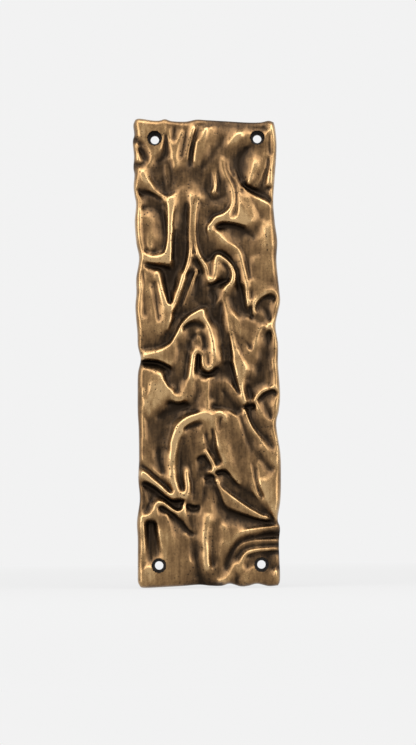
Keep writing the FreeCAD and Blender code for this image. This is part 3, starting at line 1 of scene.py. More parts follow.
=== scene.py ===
import json
import math
import bpy
import bmesh
import numpy as np
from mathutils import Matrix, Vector


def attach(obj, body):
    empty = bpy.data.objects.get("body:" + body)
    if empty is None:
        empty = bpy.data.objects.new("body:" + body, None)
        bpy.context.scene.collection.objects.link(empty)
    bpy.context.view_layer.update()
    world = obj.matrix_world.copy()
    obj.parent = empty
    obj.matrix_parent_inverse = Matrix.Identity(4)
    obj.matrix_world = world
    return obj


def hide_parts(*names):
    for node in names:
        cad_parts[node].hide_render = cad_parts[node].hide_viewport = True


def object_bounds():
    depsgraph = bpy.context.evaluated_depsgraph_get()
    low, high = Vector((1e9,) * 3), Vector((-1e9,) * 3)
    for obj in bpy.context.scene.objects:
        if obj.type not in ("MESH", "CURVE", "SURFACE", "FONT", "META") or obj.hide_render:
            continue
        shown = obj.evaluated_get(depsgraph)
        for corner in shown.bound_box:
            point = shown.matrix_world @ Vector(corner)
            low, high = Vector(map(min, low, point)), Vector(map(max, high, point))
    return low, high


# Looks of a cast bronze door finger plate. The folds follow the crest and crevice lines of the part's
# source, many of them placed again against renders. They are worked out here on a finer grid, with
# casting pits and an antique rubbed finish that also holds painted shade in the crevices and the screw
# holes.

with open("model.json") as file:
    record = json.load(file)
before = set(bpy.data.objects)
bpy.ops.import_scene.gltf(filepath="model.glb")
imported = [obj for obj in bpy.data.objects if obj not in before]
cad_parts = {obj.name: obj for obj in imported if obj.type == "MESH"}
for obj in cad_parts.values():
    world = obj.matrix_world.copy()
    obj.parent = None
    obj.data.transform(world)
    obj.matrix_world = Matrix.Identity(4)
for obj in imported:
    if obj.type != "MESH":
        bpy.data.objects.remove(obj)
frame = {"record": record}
cad_low, cad_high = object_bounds()
MM = 0.001

# Heights of the front above the flat back, in millimetres. What rises above the soft top is pressed
# down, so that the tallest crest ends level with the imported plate.
FLOOR_HEIGHT = 2.8
CREST_HEIGHT = 9.6
EDGE_LAND = 2.4
SOFT_TOP = 8.5
ROLL_RADIUS = 3.2
CORNER_ROUNDING = 0.3

# How the skin is worked out, in drawn millimetres; levels run from 0 in the deepest crevice to 1 on
# the highest crest.
CELL = 0.5
HALF_ACROSS = 41.0
HALF_UP = 128.0
LEVEL_AT_REST = 0.4
LIP_LEVEL = 0.83
LIP_PULL = 1.6
LIP_BREADTH = 0.7
CREST_PULL = 0.9
CREST_BREADTH = 0.4
VALLEY_PULL = 1.0
VALLEY_BREADTH = 0.4
RELAX_ROUNDS = 500
OVER_RELAX = 1.9
SKIN_BLUR = 0.35

# Unevenness of a surface worked by hand in wax: spread and depth of each swell, in millimetres.
SWELLS = ((4.0, 0.35), (1.6, 0.12))

# Points of the front; crowding draws the columns together near the long edges.
POINTS_ACROSS = 167
POINTS_UP = 551
CROWDING = 0.2807

# Screw holes, millimetres from the back face.
SEAT_HEIGHT = 2.2
HEAD_RADIUS = 3.7
# The painted shade inside the screw holes reaches this far beyond the head radius.
HOLE_MARGIN = 0.1

# The photo's height in pixels, the camera's place in metres and its roll in degrees.
PHOTO_HEIGHT = 745
MM_PER_PIXEL = 0.5325
CAMERA_AWAY = 1.15
CAMERA_ASIDE = -0.001
CAMERA_UP = -0.090
CAMERA_ROLL = -0.58
FACE_DEPTH = -0.004
PICTURE_MIDDLE = -0.00975

# How the patina and the painted shade in the crevices read the relief, in millimetres: the blur that a
# fold or a lip stands out from, and the range of heights that runs from dark to bright.
FOLD_BLUR = 3.5
FOLD_RANGE = 5.0
LIP_BLUR = 1.0
LIP_RANGE = 2.0

# How far the unpolished back is rubbed, from dark to bright, and the layer that counts as back.
BACK_FINISH = 0.46
BACK_LAYER = 0.05

# Shares of the relief in the rubbing and painted crevice shade; colours from dark crevices to rubbed
# crests.
RUB_AND_SHADE_SHARES = {"fold": 0.15, "lip": 0.95, "level": 1.05}
PATINA_AND_SHADE = [
    (0.0, (0.018, 0.011, 0.006)), (0.25, (0.060, 0.035, 0.017)), (0.5, (0.155, 0.088, 0.039)),
    (0.75, (0.29, 0.172, 0.075)), (1.0, (0.50, 0.325, 0.155)),
]
PIT_COLOUR = (0.012, 0.009, 0.007)

# The pale surroundings, the dim room that other light comes from, the floor's paper and, in metres,
# the floor's half width and the gap under the plate.
BACKDROP = (0.888, 0.888, 0.888)
ROOM = (0.10, 0.10, 0.10)
PAPER = (0.64, 0.64, 0.64)
FLOOR_HALF = 2.0
FLOOR_GAP = 0.0005

# The floor shows this share of the backdrop up to the near distance, and all of it from the far one.
FADE_SHARE = 0.86
FADE_NEAR = 0.1
FADE_FAR = 0.7

# Studio lights: name, place, target, width and height in metres, then power in watts.
LIGHTS = (
    ("top_softbox", (0.0, -0.40, 0.70), (0, 0, 0.03), 1.2, 0.7, 9.5),
    ("left_softbox", (-0.65, -0.38, 0.10), (0, 0, 0), 0.6, 0.9, 5.2),
    ("right_softbox", (0.65, -0.38, 0.10), (0, 0, 0), 0.6, 0.9, 4.8),
)

# Outline of the plate, as (across, up); neighbouring edges share their rounded corner point.
LEFT_EDGE = [
    (-37.8, 125.2), (-38.7, 122.5), (-38.3, 117.5), (-39.1, 113.5), (-38.5, 106), (-38.9, 100),
    (-38.4, 96), (-38.9, 90), (-38.4, 85), (-37.7, 80), (-38.5, 71), (-37.8, 60), (-36.4, 51.5),
    (-38, 41), (-38, 33), (-38.6, 25), (-37.7, 12), (-37.5, 5), (-36.1, -2.5), (-37.6, -10),
    (-37.9, -22), (-37.9, -31), (-37.5, -40), (-37.5, -56), (-38, -66), (-37.3, -77),
    (-38.9, -88.6), (-38.6, -98), (-38.7, -108), (-38.8, -117), (-38.7, -121), (-37.6, -123.4),
]
RIGHT_EDGE = [
    (36.2, 123.4), (37, 120), (37.6, 113), (37.4, 105), (36.5, 94), (35.6, 81), (36.3, 70),
    (37.5, 60), (37, 49), (38.3, 34), (38.6, 27), (36.2, 15.5), (37.4, 5), (37.3, -6), (38.2, -21),
    (37.5, -30), (36, -38), (38, -53), (38.2, -66), (37.8, -78), (36.3, -88), (37.4, -93),
    (36.8, -100), (36.9, -109), (37.2, -117), (37, -121.5), (36, -123.6),
]
TOP_EDGE = [
    (-37.8, 125.2), (-36, 126), (-33.5, 125.8), (-28, 124.9), (-24.5, 124.9), (-21.6, 125.6),
    (-18, 124.6), (-10.8, 124.3), (-5, 125.3), (0, 125), (12, 124.2), (22, 123.5), (29, 123.5),
    (33.5, 124.3), (36.2, 123.4),
]
BOTTOM_EDGE = [
    (-37.6, -123.4), (-35.8, -124.2), (-28, -124), (-15, -123.4), (-6, -122.8), (0, -123.4),
    (6, -123.5), (10.5, -122.4), (16, -123.9), (20, -123.7), (25, -122.6), (31, -123.9),
    (36, -123.6),
]

# Crest lines: level at the first point, level at the last, then (across, up).
CRESTS = {
    "cave_lip_upper": (0.59, 0.93, [
        (2.6, 66.8), (4.8, 70.2), (8.6, 71), (12.6, 70.4), (16.4, 70.2), (20.4, 68.8)]),
    "panel_low_left": (0.96, 0.85, [(-30.4, -22), (-29, -28)]),
    "panel_low_right": (0.96, 0.81, [(-26.6, -21.6), (-25.6, -26)]),
    "oval": (1.04, 0.78, [
        (-0.4, -33.4), (-3.1, -32.6), (-6.6, -33.1), (-10.6, -35), (-14.1, -37.9), (-16.6, -41.6),
        (-18.4, -46.3), (-19.2, -52.3), (-19.7, -59.2), (-19.5, -65.2), (-18.5, -70.1), (-16.6, -74.1),
        (-14.2, -75.9), (-12.3, -74.6), (-11.5, -71.1), (-11.6, -66.7), (-11.6, -61.7)]),
    "long_crest_left": (0.81, 0.8, [
        (-7.6, 84.4), (-7.8, 79), (-8.3, 67.7), (-8.3, 58.8), (-9.2, 52), (-11, 45.4), (-13, 40),
        (-15.2, 33.5), (-17, 28.6), (-18.4, 24.6), (-19.8, 18.5), (-21.2, 13)]),
    "long_crest_right": (0.7, 0.96, [
        (-3, 84), (-5, 81), (-6.1, 76.4), (-6.7, 67.7), (-6.5, 59.3), (-4.8, 53), (-2, 48.4), (0, 44.4),
        (0.6, 40.6), (1.8, 37.8), (3.4, 38.4), (4.4, 41.6), (4.6, 47.4), (4.8, 51.9)]),
    "hook_fill": (0.56, 0.56, [(11.5, 55), (13.5, 51), (14.6, 46)]),
    "foot_ridge": (0.74, 0.96, [
        (-1, -86), (-1.9, -90), (-2.6, -95), (-2.8, -101), (-2.3, -108), (-1.4, -114)]),
    "top_panel": (0.89, 0.63, [(0.4, 120.3), (-1.6, 113.4), (-3.6, 105.4), (-5.4, 100)]),
    "cell_neighbour": (0.56, 0.52, [(-12.4, 83), (-14, 79.6), (-16, 75), (-17.6, 68)]),
    "lip_slope": (0.59, 0.56, [(16.4, 48), (17.2, 42), (18, 37)]),
    "left_wing": (0.81, 0.93, [(-19.6, 4.8), (-23.1, 2.2), (-27.1, 0.5), (-31.6, -0.9), (-35.9, -1.4)]),
    "funnel": (0.44, 0.63, [(0.6, -74), (0.2, -79), (-0.2, -83)]),
    "foot_slope": (0.56, 0.56, [(-5, -86), (-5.4, -92), (-5.6, -99), (-5, -105)]),
    "panel_glow": (0.96, 0.93, [(-34.6, -19), (-33.6, -26), (-33, -31)]),
    "spine_broad": (0.67, 0.63, [(1.6, -15), (1.8, -21), (2.2, -25.6)]),
    "inner_line": (0.67, 0.93, [
        (8.6, 104), (9.2, 100), (10, 96), (11.6, 92.6), (13.6, 89.2), (14.5, 85), (14.2, 80.6),
        (12.8, 77), (10, 74.6), (6.9, 73.3), (4.2, 71.6), (2.2, 68.6), (0.8, 65.2)]),
    "cell_pillow": (0.63, 0.78, [(-30.4, 74.7), (-30.8, 67.7), (-30.8, 60.8), (-30.2, 55)]),
    "roll_outer": (0.7, 0.67, [
        (-35.8, 98.6), (-35.2, 95), (-33.6, 91), (-30.6, 88), (-26.4, 85.6), (-22.6, 83.2),
        (-20.4, 81.6)]),
    "left_top_edge": (0.74, 0.74, [(-36.6, 113), (-36.8, 108), (-36.4, 103)]),
    "plain_low": (0.7, 0.67, [(25, 51), (27, 46.5)]),
    "under_wing": (0.78, 0.74, [(-35, -8), (-30.4, -8.8), (-26.4, -10.4)]),
    "panel_bulge": (0.85, 1, [(-29.8, -16.4), (-27.6, -19.6), (-25, -23)]),
    "meander_leg": (0.78, 0.93, [
        (-5.1, 1.8), (-6.4, 1.2), (-7.4, -1.2), (-8, -5.3), (-9.4, -12.1), (-11.2, -17.8), (-13, -22.2),
        (-15.4, -24.4), (-18, -23.6), (-19.8, -21.2), (-22.6, -17.8), (-24.8, -14.4)]),
    "junction_bump": (0.93, 0.81, [(5.8, -31.2), (7.8, -33), (9.8, -36.4)]),
    "sweep_bit": (0.78, 0.78, [(18.4, -117), (19, -121)]),
    "top_right_rib": (0.93, 0.81, [(18.6, 116.4), (15.4, 114.2), (13, 111.8)]),
    "hole_lobe_mid": (0.7, 0.85, [(25.6, 104), (25, 98), (23.4, 93), (22.2, 90)]),
    "lobe_rim": (0.7, 0.63, [(30.4, 106.4), (31.2, 101.5), (29.6, 96), (27, 91.1), (25.4, 88.6)]),
    "shoulder_crest": (0.74, 1, [
        (17.6, 89.6), (17.2, 84), (17.4, 79), (18.6, 74.8), (20.4, 72), (22.4, 70.4)]),
    "shoulder_fan": (0.85, 0.89, [(21.2, 82.6), (22.8, 77), (24.6, 72.4)]),
    "shoulder_far": (0.74, 0.59, [(24, 84), (27, 77), (29.6, 71.4)]),
    "panel_bulge_right": (0.96, 0.96, [(-27.4, -16.4), (-24, -20.8)]),
    "soft_left_lobe": (0.81, 0.74, [(-8, -13.6), (-8.4, -18.6), (-9.6, -23)]),
    "loop_lower": (0.81, 0.81, [
        (24.4, -25.4), (27.4, -21.5), (30.9, -19.4), (34.4, -18.1), (36.6, -19.4), (37.8, -22.5),
        (37.5, -27), (36.4, -31.5), (35, -34.9), (34.4, -38.4), (35.4, -42.9), (36.7, -49.3),
        (37.4, -56.3), (37.3, -63.2), (36.9, -71.1), (37, -79.1), (36.4, -83.5), (35.7, -87.3)]),
    "small_hook_right": (0.78, 0.67, [
        (-2.2, -51), (-1, -53), (0.4, -56), (2.2, -59.4), (3.2, -62), (1.8, -63.2), (0.2, -63.2)]),
    "foot_right": (0.7, 0.7, [(6.6, -91), (8.4, -96), (7.4, -102), (5.6, -108)]),
    "bottom_swell": (0.7, 0.63, [(-26, -117), (-18, -118)]),
    "low_nub": (1, 1, [(-33, -114), (-32.6, -117), (-32.2, -120.6)]),
    "right_glow": (0.7, 0.7, [(34.2, -3), (34.4, -9)]),
    "pocket_rim_left": (0.67, 0.56, [(24.4, 115.7), (21.2, 111.1)]),
    "top_panel_right": (0.67, 0.7, [(3.4, 120.8), (1.6, 114.4), (-0.4, 108.4)]),
    "plain_swell": (0.81, 0.78, [(31, 66.4), (32, 61), (31.6, 55.6)]),
    "plain_edge": (0.74, 0.74, [(34.6, 70), (35.2, 64), (34.8, 57)]),
    "leaf_lower": (0.59, 0.7, [(9.4, -80.6), (13.9, -82.1), (19.4, -84.7), (25.4, -87.1), (30.6, -88.5)]),
    "right_corner_bit": (0.81, 0.81, [(35, -114), (35.4, -120)]),
    "hole_right_rib": (0.7, 0.67, [(33.4, 118.3), (32, 114.3), (31.8, 107.8), (33, 103.8)]),
    "top_right_plain": (0.63, 0.59, [(22.4, 117.2), (25.4, 114.3)]),
    "vee_left_arm": (0.78, 0.89, [
        (-26.8, 43.9), (-25.8, 38), (-23.8, 31.5), (-21.9, 26.4), (-19.6, 23.5)]),
    "tongue_left": (0.83, 0.78, [
        (5, -30.5), (3.6, -34.4), (3.2, -38.9), (4.1, -43.9), (5, -49.3), (6.7, -53.8), (8.6, -58.2),
        (10.2, -61.8), (12.9, -65.6), (15.9, -69.2)]),
    "sweep_one": (0.63, 0.74, [
        (4, -114.5), (6.4, -109), (8.8, -104.4), (11.4, -100), (14.4, -96.9), (19, -94.6), (27, -93.2),
        (37, -92)]),
    "sweep_two": (0.44, 0.52, [
        (10.4, -111.5), (12.8, -106.5), (16, -102.5), (20.4, -100.5), (28, -99.9), (37, -99.4)]),
    "sweep_three": (0.78, 0.59, [
        (14, -118.5), (16, -113), (17.6, -108.5), (20, -106), (25, -104.6), (31, -104.3), (37, -104)]),
    "lens_lip": (0.52, 0.81, [
        (14.4, 107.4), (12, 105.4), (10.9, 102), (11.6, 98), (13.7, 94), (16.4, 90.8), (19.4, 87.8),
        (23.9, 84), (29.9, 80.4), (34.8, 77)]),
    "right_edge_mid": (0.7, 0.59, [
        (32.2, 79.6), (34.2, 73.7), (35.6, 67.2), (36.4, 59.8), (36.6, 51.9), (36.3, 43.9), (36, 38),
        (35.8, 34)]),
    "hook_tail": (0.67, 0.67, [(11.8, 23.5), (14.4, 19.1), (17, 14.8), (19, 10.8)]),
    "hook_stem": (0.67, 0.89, [
        (9.1, 32.8), (8.7, 29.5), (9.6, 26.1), (10.3, 21.8), (10.9, 16.7), (11.7, 11.7), (12.7, 5.8),
        (13.4, -0.7), (14, -6.4), (15.1, -10.9), (16.2, -15.4), (18, -21.5), (19.4, -26.4)]),
    "loop_upper_left": (0.44, 0.59, [
        (26.2, 20.1), (28.4, 17.1), (30.6, 14.5), (28.9, 10.7), (27.2, 6.7), (26, 1.8), (25.4, -2.7)]),
    "return_stroke": (0.78, 0.44, [(19.4, -27), (17, -23.4), (13.9, -19.4), (11, -16.8), (8, -14.6)]),
    "facet_ridge": (0.74, 0.78, [(13.2, 6.2), (15.8, -0.7), (17.8, -6.2), (18.6, -11.6), (18, -17.1)]),
    "wave": (0.81, 0.7, [
        (-36.6, -86), (-34.1, -86.5), (-31.3, -85.5), (-29.6, -83), (-28.6, -80.1), (-27.1, -78.8),
        (-24.6, -79.3), (-22.1, -80.8), (-19.6, -83), (-17.4, -84.3), (-15.1, -83.5), (-13.8, -81.1),
        (-13.3, -78.8)]),
    "tongue_mid": (0.56, 0.59, [(9.9, -34.4), (11, -42.4), (12.4, -49.3), (14.4, -56.3), (16.9, -63.2)]),
    "long_right_line": (0.78, 0.81, [
        (18.7, -29.5), (20.4, -34.4), (22.8, -39.9), (25.8, -44.6), (29, -49.4), (32, -54),
        (34.9, -58.7), (36.7, -61.7)]),
    "arch_leg": (0.7, 0.7, [(-15.6, 8.2), (-17.8, 4.7), (-19.1, 0.3), (-19.7, -5.2)]),
    "petal_face": (0.89, 0.96, [(27, -67), (29.4, -73), (32.2, -79.5), (34.6, -84.6)]),
    "low_panel": (0.67, 0.78, [(-23.1, -85), (-21.1, -94), (-19.1, -102.9), (-17.6, -109.8)]),
    "low_panel_right": (0.63, 0.7, [(-12.6, -95), (-12, -104.9), (-11, -110.8)]),
    "low_wing": (0.93, 0.89, [
        (-36.4, -63), (-33.9, -64.4), (-30.6, -67), (-27.1, -70), (-23.1, -73.4), (-18.9, -76.4)]),
    "small_hook": (0.56, 0.48, [
        (-2.6, -46), (-2.2, -50.4), (-3.4, -52), (-6, -53.6), (-7.8, -56), (-8.2, -60), (-8, -65)]),
    "small_lobe": (0.52, 0.56, [(-3, -66.6), (-3.8, -70.6), (-4.8, -76.4), (-7.2, -79.6), (-10, -78.4)]),
    "foot_nub": (0.78, 0.74, [(22.4, -114.5), (21.4, -118.5), (20.6, -122)]),
    "vee_right_arm": (0.89, 0.48, [(-20, 82), (-16.5, 84.6), (-13, 86.4)]),
    "thin_strut": (0.63, 0.56, [(9.4, 34), (7, 30), (5.4, 27)]),
    "meander_lobe": (0.56, 0.7, [(3.6, 13), (3.8, 7.2), (5.2, 1.3), (5.8, -2.7), (4.7, -6.2)]),
    "meander": (0.89, 0.74, [
        (-2.7, 23.3), (-2.5, 19.6), (-0.4, 16), (1.7, 11), (3, 4.7), (3.4, -0.7), (3, -5.3), (1.4, -8.1),
        (-0.4, -8.6), (-2, -7.2), (-2.9, -3.7), (-3.4, -0.5), (-5.1, 1.8)]),
    "left_swell": (0.81, 0.74, [(-34, -18), (-34.8, -27), (-34.8, -37), (-34.2, -45)]),
    "low_nub_right": (0.89, 0.89, [(-30.8, -115.4), (-30.6, -121.5)]),
    "hook_tail_low": (0.74, 0.67, [(15.4, 15.2), (18, 9.2), (21, 3.7), (23.4, -0.3)]),
    "pocket_seam": (0.52, 0.41, [(-21.2, 100.5), (-20.8, 95.5), (-20.2, 90.6)]),
    "drape_face": (0.48, 0.44, [(1, 98), (-1.6, 93.5), (-4, 88.6)]),
    "roll_inner": (0.78, 0.85, [(-32.9, 98), (-32.3, 95), (-31, 91.8), (-28.6, 88.4)]),
    "hole_fork_left": (0.74, 0.63, [
        (-32.8, 114.2), (-30.6, 110.4), (-28.8, 107), (-28.6, 104.6), (-29.6, 102), (-30.8, 99.8)]),
    "hook": (0.93, 0.89, [
        (4.8, 52.2), (7.4, 51.4), (10.9, 48.7), (13.6, 45.4), (14.6, 41.9), (13.7, 38.3), (10.9, 35.7),
        (9.1, 32.8)]),
    "tongue_right": (0.67, 0.59, [
        (6.8, -31.7), (10.4, -31.4), (13.8, -33.2), (15.8, -37.8), (17.4, -43.4), (19, -49.3),
        (21, -55.3)]),
    "small_spike": (0.56, 0.81, [(3.8, 97), (4.6, 92), (4.8, 88.6), (3.4, 85.6)]),
    "cave_lip_lower": (0.78, 0.85, [
        (5, 64.3), (8.4, 60.4), (11.9, 57.8), (15.2, 56.2), (17.1, 53.4), (18.6, 47.9), (20.2, 41.9),
        (20.9, 36), (21.4, 30), (21.6, 24.9)]),
    "slot_rib": (0.52, 0.44, [(8.4, 19.6), (9.7, 15.2), (10.2, 9.2)]),
    "panel_left": (0.74, 0.81, [
        (-28.1, -9.6), (-27.6, -14.6), (-28.6, -20.5), (-31.1, -27.5), (-32.6, -32.5)]),
    "petal_streak": (0.59, 0.93, [
        (21.4, -56.3), (22.4, -63.2), (23.4, -70.1), (25.2, -76.1), (28.4, -80.7), (32.4, -85),
        (35.4, -88.2)]),
    "petal_two": (0.59, 0.74, [(26, -58.2), (27, -64.2), (28, -70.1)]),
    "fan_left": (0.59, 0.78, [
        (-20.2, 121.3), (-20.2, 118.3), (-19.2, 113.4), (-17.9, 108.4), (-17.4, 103.5)]),
    "faint_rib": (0.52, 0.48, [(8, 94.5), (10.4, 89.1), (11.6, 84.1), (11, 79.1)]),
    "hollow_shelf": (0.44, 0.41, [(1.9, 78.2), (5.4, 76.7), (9.4, 77.7)]),
    "fan_right": (0.78, 0.67, [
        (-12.3, 118.3), (-13.9, 114.4), (-15.2, 109.9), (-16.2, 104.4), (-16.8, 98.5)]),
    "top_rib": (0.85, 0.63, [(-5.8, 121.3), (-7.6, 115.4), (-9.4, 109.2), (-10.4, 103.5)]),
    "panel_edge": (0.81, 0.78, [(-4.6, 113.4), (-5.8, 107.4), (-6.2, 102)]),
    "right_rim_patch": (0.81, 0.81, [(35, 93.5), (34.8, 87.6)]),
    "cell_left_slope": (0.59, 0.7, [(-33.8, 75.7), (-33.8, 65.8), (-32.6, 57.8), (-30.1, 53.9)]),
    "wing_blob": (1, 0.85, [(8, 72.1), (5.4, 71.3), (3, 68.7), (1, 65.4)]),
    "plain_bright": (0.81, 0.78, [(33, 64.8), (33.2, 58.8), (32.4, 54.8)]),
    "plain_left": (0.56, 0.67, [(23, 47.9), (23.4, 41), (23.8, 34.5)]),
    "stroke_two": (0.74, 0.44, [(-4.8, 45.5), (-6.8, 41.2), (-8.6, 37), (-10.6, 32), (-12.6, 26.6)]),
    "stroke_one": (0.67, 0.56, [(-11, 40.5), (-12.6, 36.5), (-14.4, 31.5), (-16, 26.1), (-17.6, 21.6)]),
    "hook_triangle": (0.81, 0.78, [(5.4, 45.4), (4.6, 41.9), (3.4, 39)]),
    "left_wing_low": (0.85, 0.78, [(-35, -2.5), (-29.6, -2.6), (-24.6, -3.5), (-20.2, -5.7)]),
    "arch_face": (0.63, 0.56, [(-5.6, 11.7), (-4.1, 7.7), (-3.6, 4.3)]),
    "facet_face": (0.89, 0.78, [(15.2, 1.8), (17.8, -4.3), (19.8, -8.6)]),
    "pocket_left_edge": (0.74, 0.7, [(27.8, 12.8), (26, 7.7), (24.4, 2.3)]),
    "junction": (0.89, 0.89, [(29.8, 14.4), (32.4, 14), (35, 14.6)]),
    "spine_face": (0.7, 0.74, [(-2, -14.6), (-2.2, -21.5), (-2.6, -28.5)]),
    "panel_left_edge": (0.81, 0.93, [(-26, -10.2), (-23.2, -15), (-21, -19), (-18.2, -22.9)]),
    "panel_left_mid": (0.78, 0.7, [(-32.1, -9.6), (-32.6, -16.6), (-33.6, -23.5)]),
    "oval_ridge": (0.63, 0.67, [(-3.8, -39), (-3.4, -43.4), (-3.4, -48.3)]),
    "foot_edge": (0.67, 0.85, [
        (14.2, -109.3), (12.2, -113.8), (10.4, -118.3), (8.4, -120.3), (4.2, -121.3)]),
    "post_low": (0.74, 0.81, [
        (-26.9, -93.5), (-26, -98.9), (-24.8, -104.4), (-23.4, -109.3), (-22.6, -111.3)]),
    "bottom_left_nub": (0.81, 0.93, [(-33.1, -113.8), (-33.4, -117.8), (-33.6, -121.2), (-35.2, -122.9)]),
    "left_strip_rib": (0.7, 0.67, [
        (-32.6, 44.9), (-31.6, 38), (-30.6, 31), (-29.2, 24.1), (-27.6, 17.1), (-26.1, 11.2)]),
    "spine": (0.74, 0.89, [(0.7, -12.6), (0, -18.6), (-0.4, -24.5), (-0.5, -30.5), (-0.4, -33.4)]),
    "spine_left": (0.63, 0.67, [(-3.8, -14.6), (-3.6, -21.5), (-3.8, -27.5)]),
    "panel_left_low": (0.7, 0.56, [(-33.6, -27.5), (-33.1, -35.4)]),
    "corner_top_left": (0.85, 0.78, [(-36.6, 122.3), (-35.8, 118.3), (-34.4, 114.4)]),
    "left_edge_upper": (0.78, 0.67, [(-38.2, 111.9), (-36.9, 106.9), (-35.2, 101.7)]),
    "hole_fork_right": (0.78, 0.74, [
        (-22.5, 121.8), (-22.4, 118.3), (-22.9, 113.4), (-24.6, 109), (-28.2, 106.2)]),
    "corner_top_right": (0.81, 0.74, [
        (35.4, 120.9), (36.2, 114.4), (36.1, 107.4), (34.7, 101.5), (33.2, 94.5), (32.6, 89.1)]),
    "hole_lobe": (0.59, 0.56, [(29.8, 106.9), (30.9, 102.5), (29.9, 97.5), (27.4, 93), (25.4, 90.1)]),
    "right_edge_stub": (0.74, 0.78, [(35.4, 87.4), (35.2, 83.1), (35.2, 79.6)]),
    "cell_rim": (0.78, 1, [
        (-37.2, 88.6), (-37.5, 84.6), (-36.1, 80.6), (-36.4, 72.7), (-36.4, 63.8), (-35.4, 56.6),
        (-32.6, 51.5), (-27.6, 49.9), (-23, 50.9), (-20.8, 55), (-20.1, 61.8), (-19.4, 70.7),
        (-18.9, 77.7), (-19.5, 82.8)]),
    "cell_corner": (0.96, 0.93, [(-20, 59.8), (-19.9, 53.9), (-20.4, 48.5)]),
    "left_edge_strip": (0.78, 0.74, [
        (-34.6, 47.4), (-35.6, 41.9), (-35.3, 35), (-35.6, 28.1), (-36.2, 22.1), (-36, 14.2),
        (-36.3, 6.2), (-35.8, -0.2)]),
    "floor_seam": (0.37, 0.3, [(-0.4, 36.5), (-0.3, 32), (-0.4, 28.1)]),
    "hook_inner": (0.81, 0.59, [(7.2, 49.9), (6.9, 46.9), (5.7, 43.4), (4.2, 40)]),
    "arch_left": (0.96, 0.85, [
        (-2.7, 23.3), (-5.5, 21.7), (-10.2, 18.9), (-13.3, 15.6), (-16, 11), (-18.2, 6.2), (-19.6, 4.3)]),
    "facet_edge": (0.74, 0.59, [(14.4, 4.7), (18.4, -1.7), (21.4, -6.2), (23.6, -9.6)]),
    "right_slope": (0.59, 0.59, [(20.9, 20.1), (22.9, 13.2), (24.6, 6.2), (25.4, 0.3), (25.1, -4.7)]),
    "left_edge_low": (0.7, 0.67, [
        (-35.8, -6.7), (-36.4, -12.6), (-36.6, -19.6), (-36.6, -27.5), (-36.5, -35.4), (-36.6, -43.4),
        (-36.4, -49.8), (-35.4, -55.3), (-32.9, -58.9), (-29.6, -62.2), (-26.1, -65.2)]),
    "panel_left_rib": (0.59, 0.52, [(-31.6, -34.4), (-32.1, -42.4), (-31.6, -50.3), (-30.1, -57.3)]),
    "loop_upper": (0.78, 0.81, [
        (24.1, 20.4), (24.3, 24.1), (25.9, 28.1), (29.4, 31), (33.4, 32.8), (35.9, 32.5), (37.4, 29.5),
        (37.9, 25.6), (37.2, 21.1), (35.4, 17.1), (34.6, 14.2), (35.8, 9.7), (37, 5.2), (36.8, -0.7),
        (36.4, -6.7), (36.2, -12.6), (36.1, -17.1)]),
    "loop_bridge": (0.67, 0.7, [(30.6, 14.6), (32.7, 14.1), (34.7, 14.4)]),
    "loop_lower_left": (0.78, 0.67, [
        (24.9, -26.5), (26.9, -31), (29.7, -34.9), (31.9, -37.4), (34, -39.6)]),
    "spine_twin": (0.52, 0.48, [(2.2, -12.6), (2.4, -18.6), (3.2, -24)]),
    "oval_right": (0.89, 0.59, [(-1.9, -33.1), (-0.2, -36.6), (0.5, -40.4), (0.9, -45.3)]),
    "bridge": (0.78, 0.74, [(2, -61.5), (5.4, -61), (9, -59.9)]),
    "leaf_left": (0.81, 0.67, [
        (2.6, -61.2), (3, -64.2), (3.9, -67.7), (5.7, -72.1), (7.2, -76.6), (8.6, -80.1)]),
    "leaf_upper": (0.78, 0.85, [
        (4.1, -68.8), (7.9, -72.3), (11.9, -75.8), (16.4, -79.1), (21.7, -82.8), (26.7, -85.6),
        (30.6, -87.5)]),
    "petal_one": (0.59, 0.67, [
        (18.9, -55.3), (20.9, -62.2), (22.7, -68.2), (24.4, -73.1), (27.4, -77.9), (31.4, -83),
        (35, -87.5)]),
    "low_wing_rib": (0.56, 0.44, [(-36.4, -70.6), (-34.6, -75.1), (-32.6, -78.6), (-31.2, -81.1)]),
    "wave_tail": (0.78, 0.59, [(-13, -81.1), (-13.5, -84), (-13.1, -88), (-11.6, -91.5), (-9.8, -94)]),
    "wave_knot": (0.74, 0.7, [(-16.8, -84.4), (-16, -86.8)]),
    "post": (0.81, 0.67, [(-28.2, -81.3), (-28.3, -86), (-27.5, -89.5), (-26.2, -93)]),
    "left_edge_post": (0.85, 0.7, [
        (-36.4, -86.4), (-35.6, -91), (-35.3, -98.9), (-35.4, -106.9), (-35.6, -113.8)]),
    "corner_low_right": (0.56, 0.67, [(31.9, -121.5), (35.2, -119.5), (36, -116)]),
    "right_low_nub": (0.67, 0.63, [(36.4, -107.8), (36, -111.3)]),
}

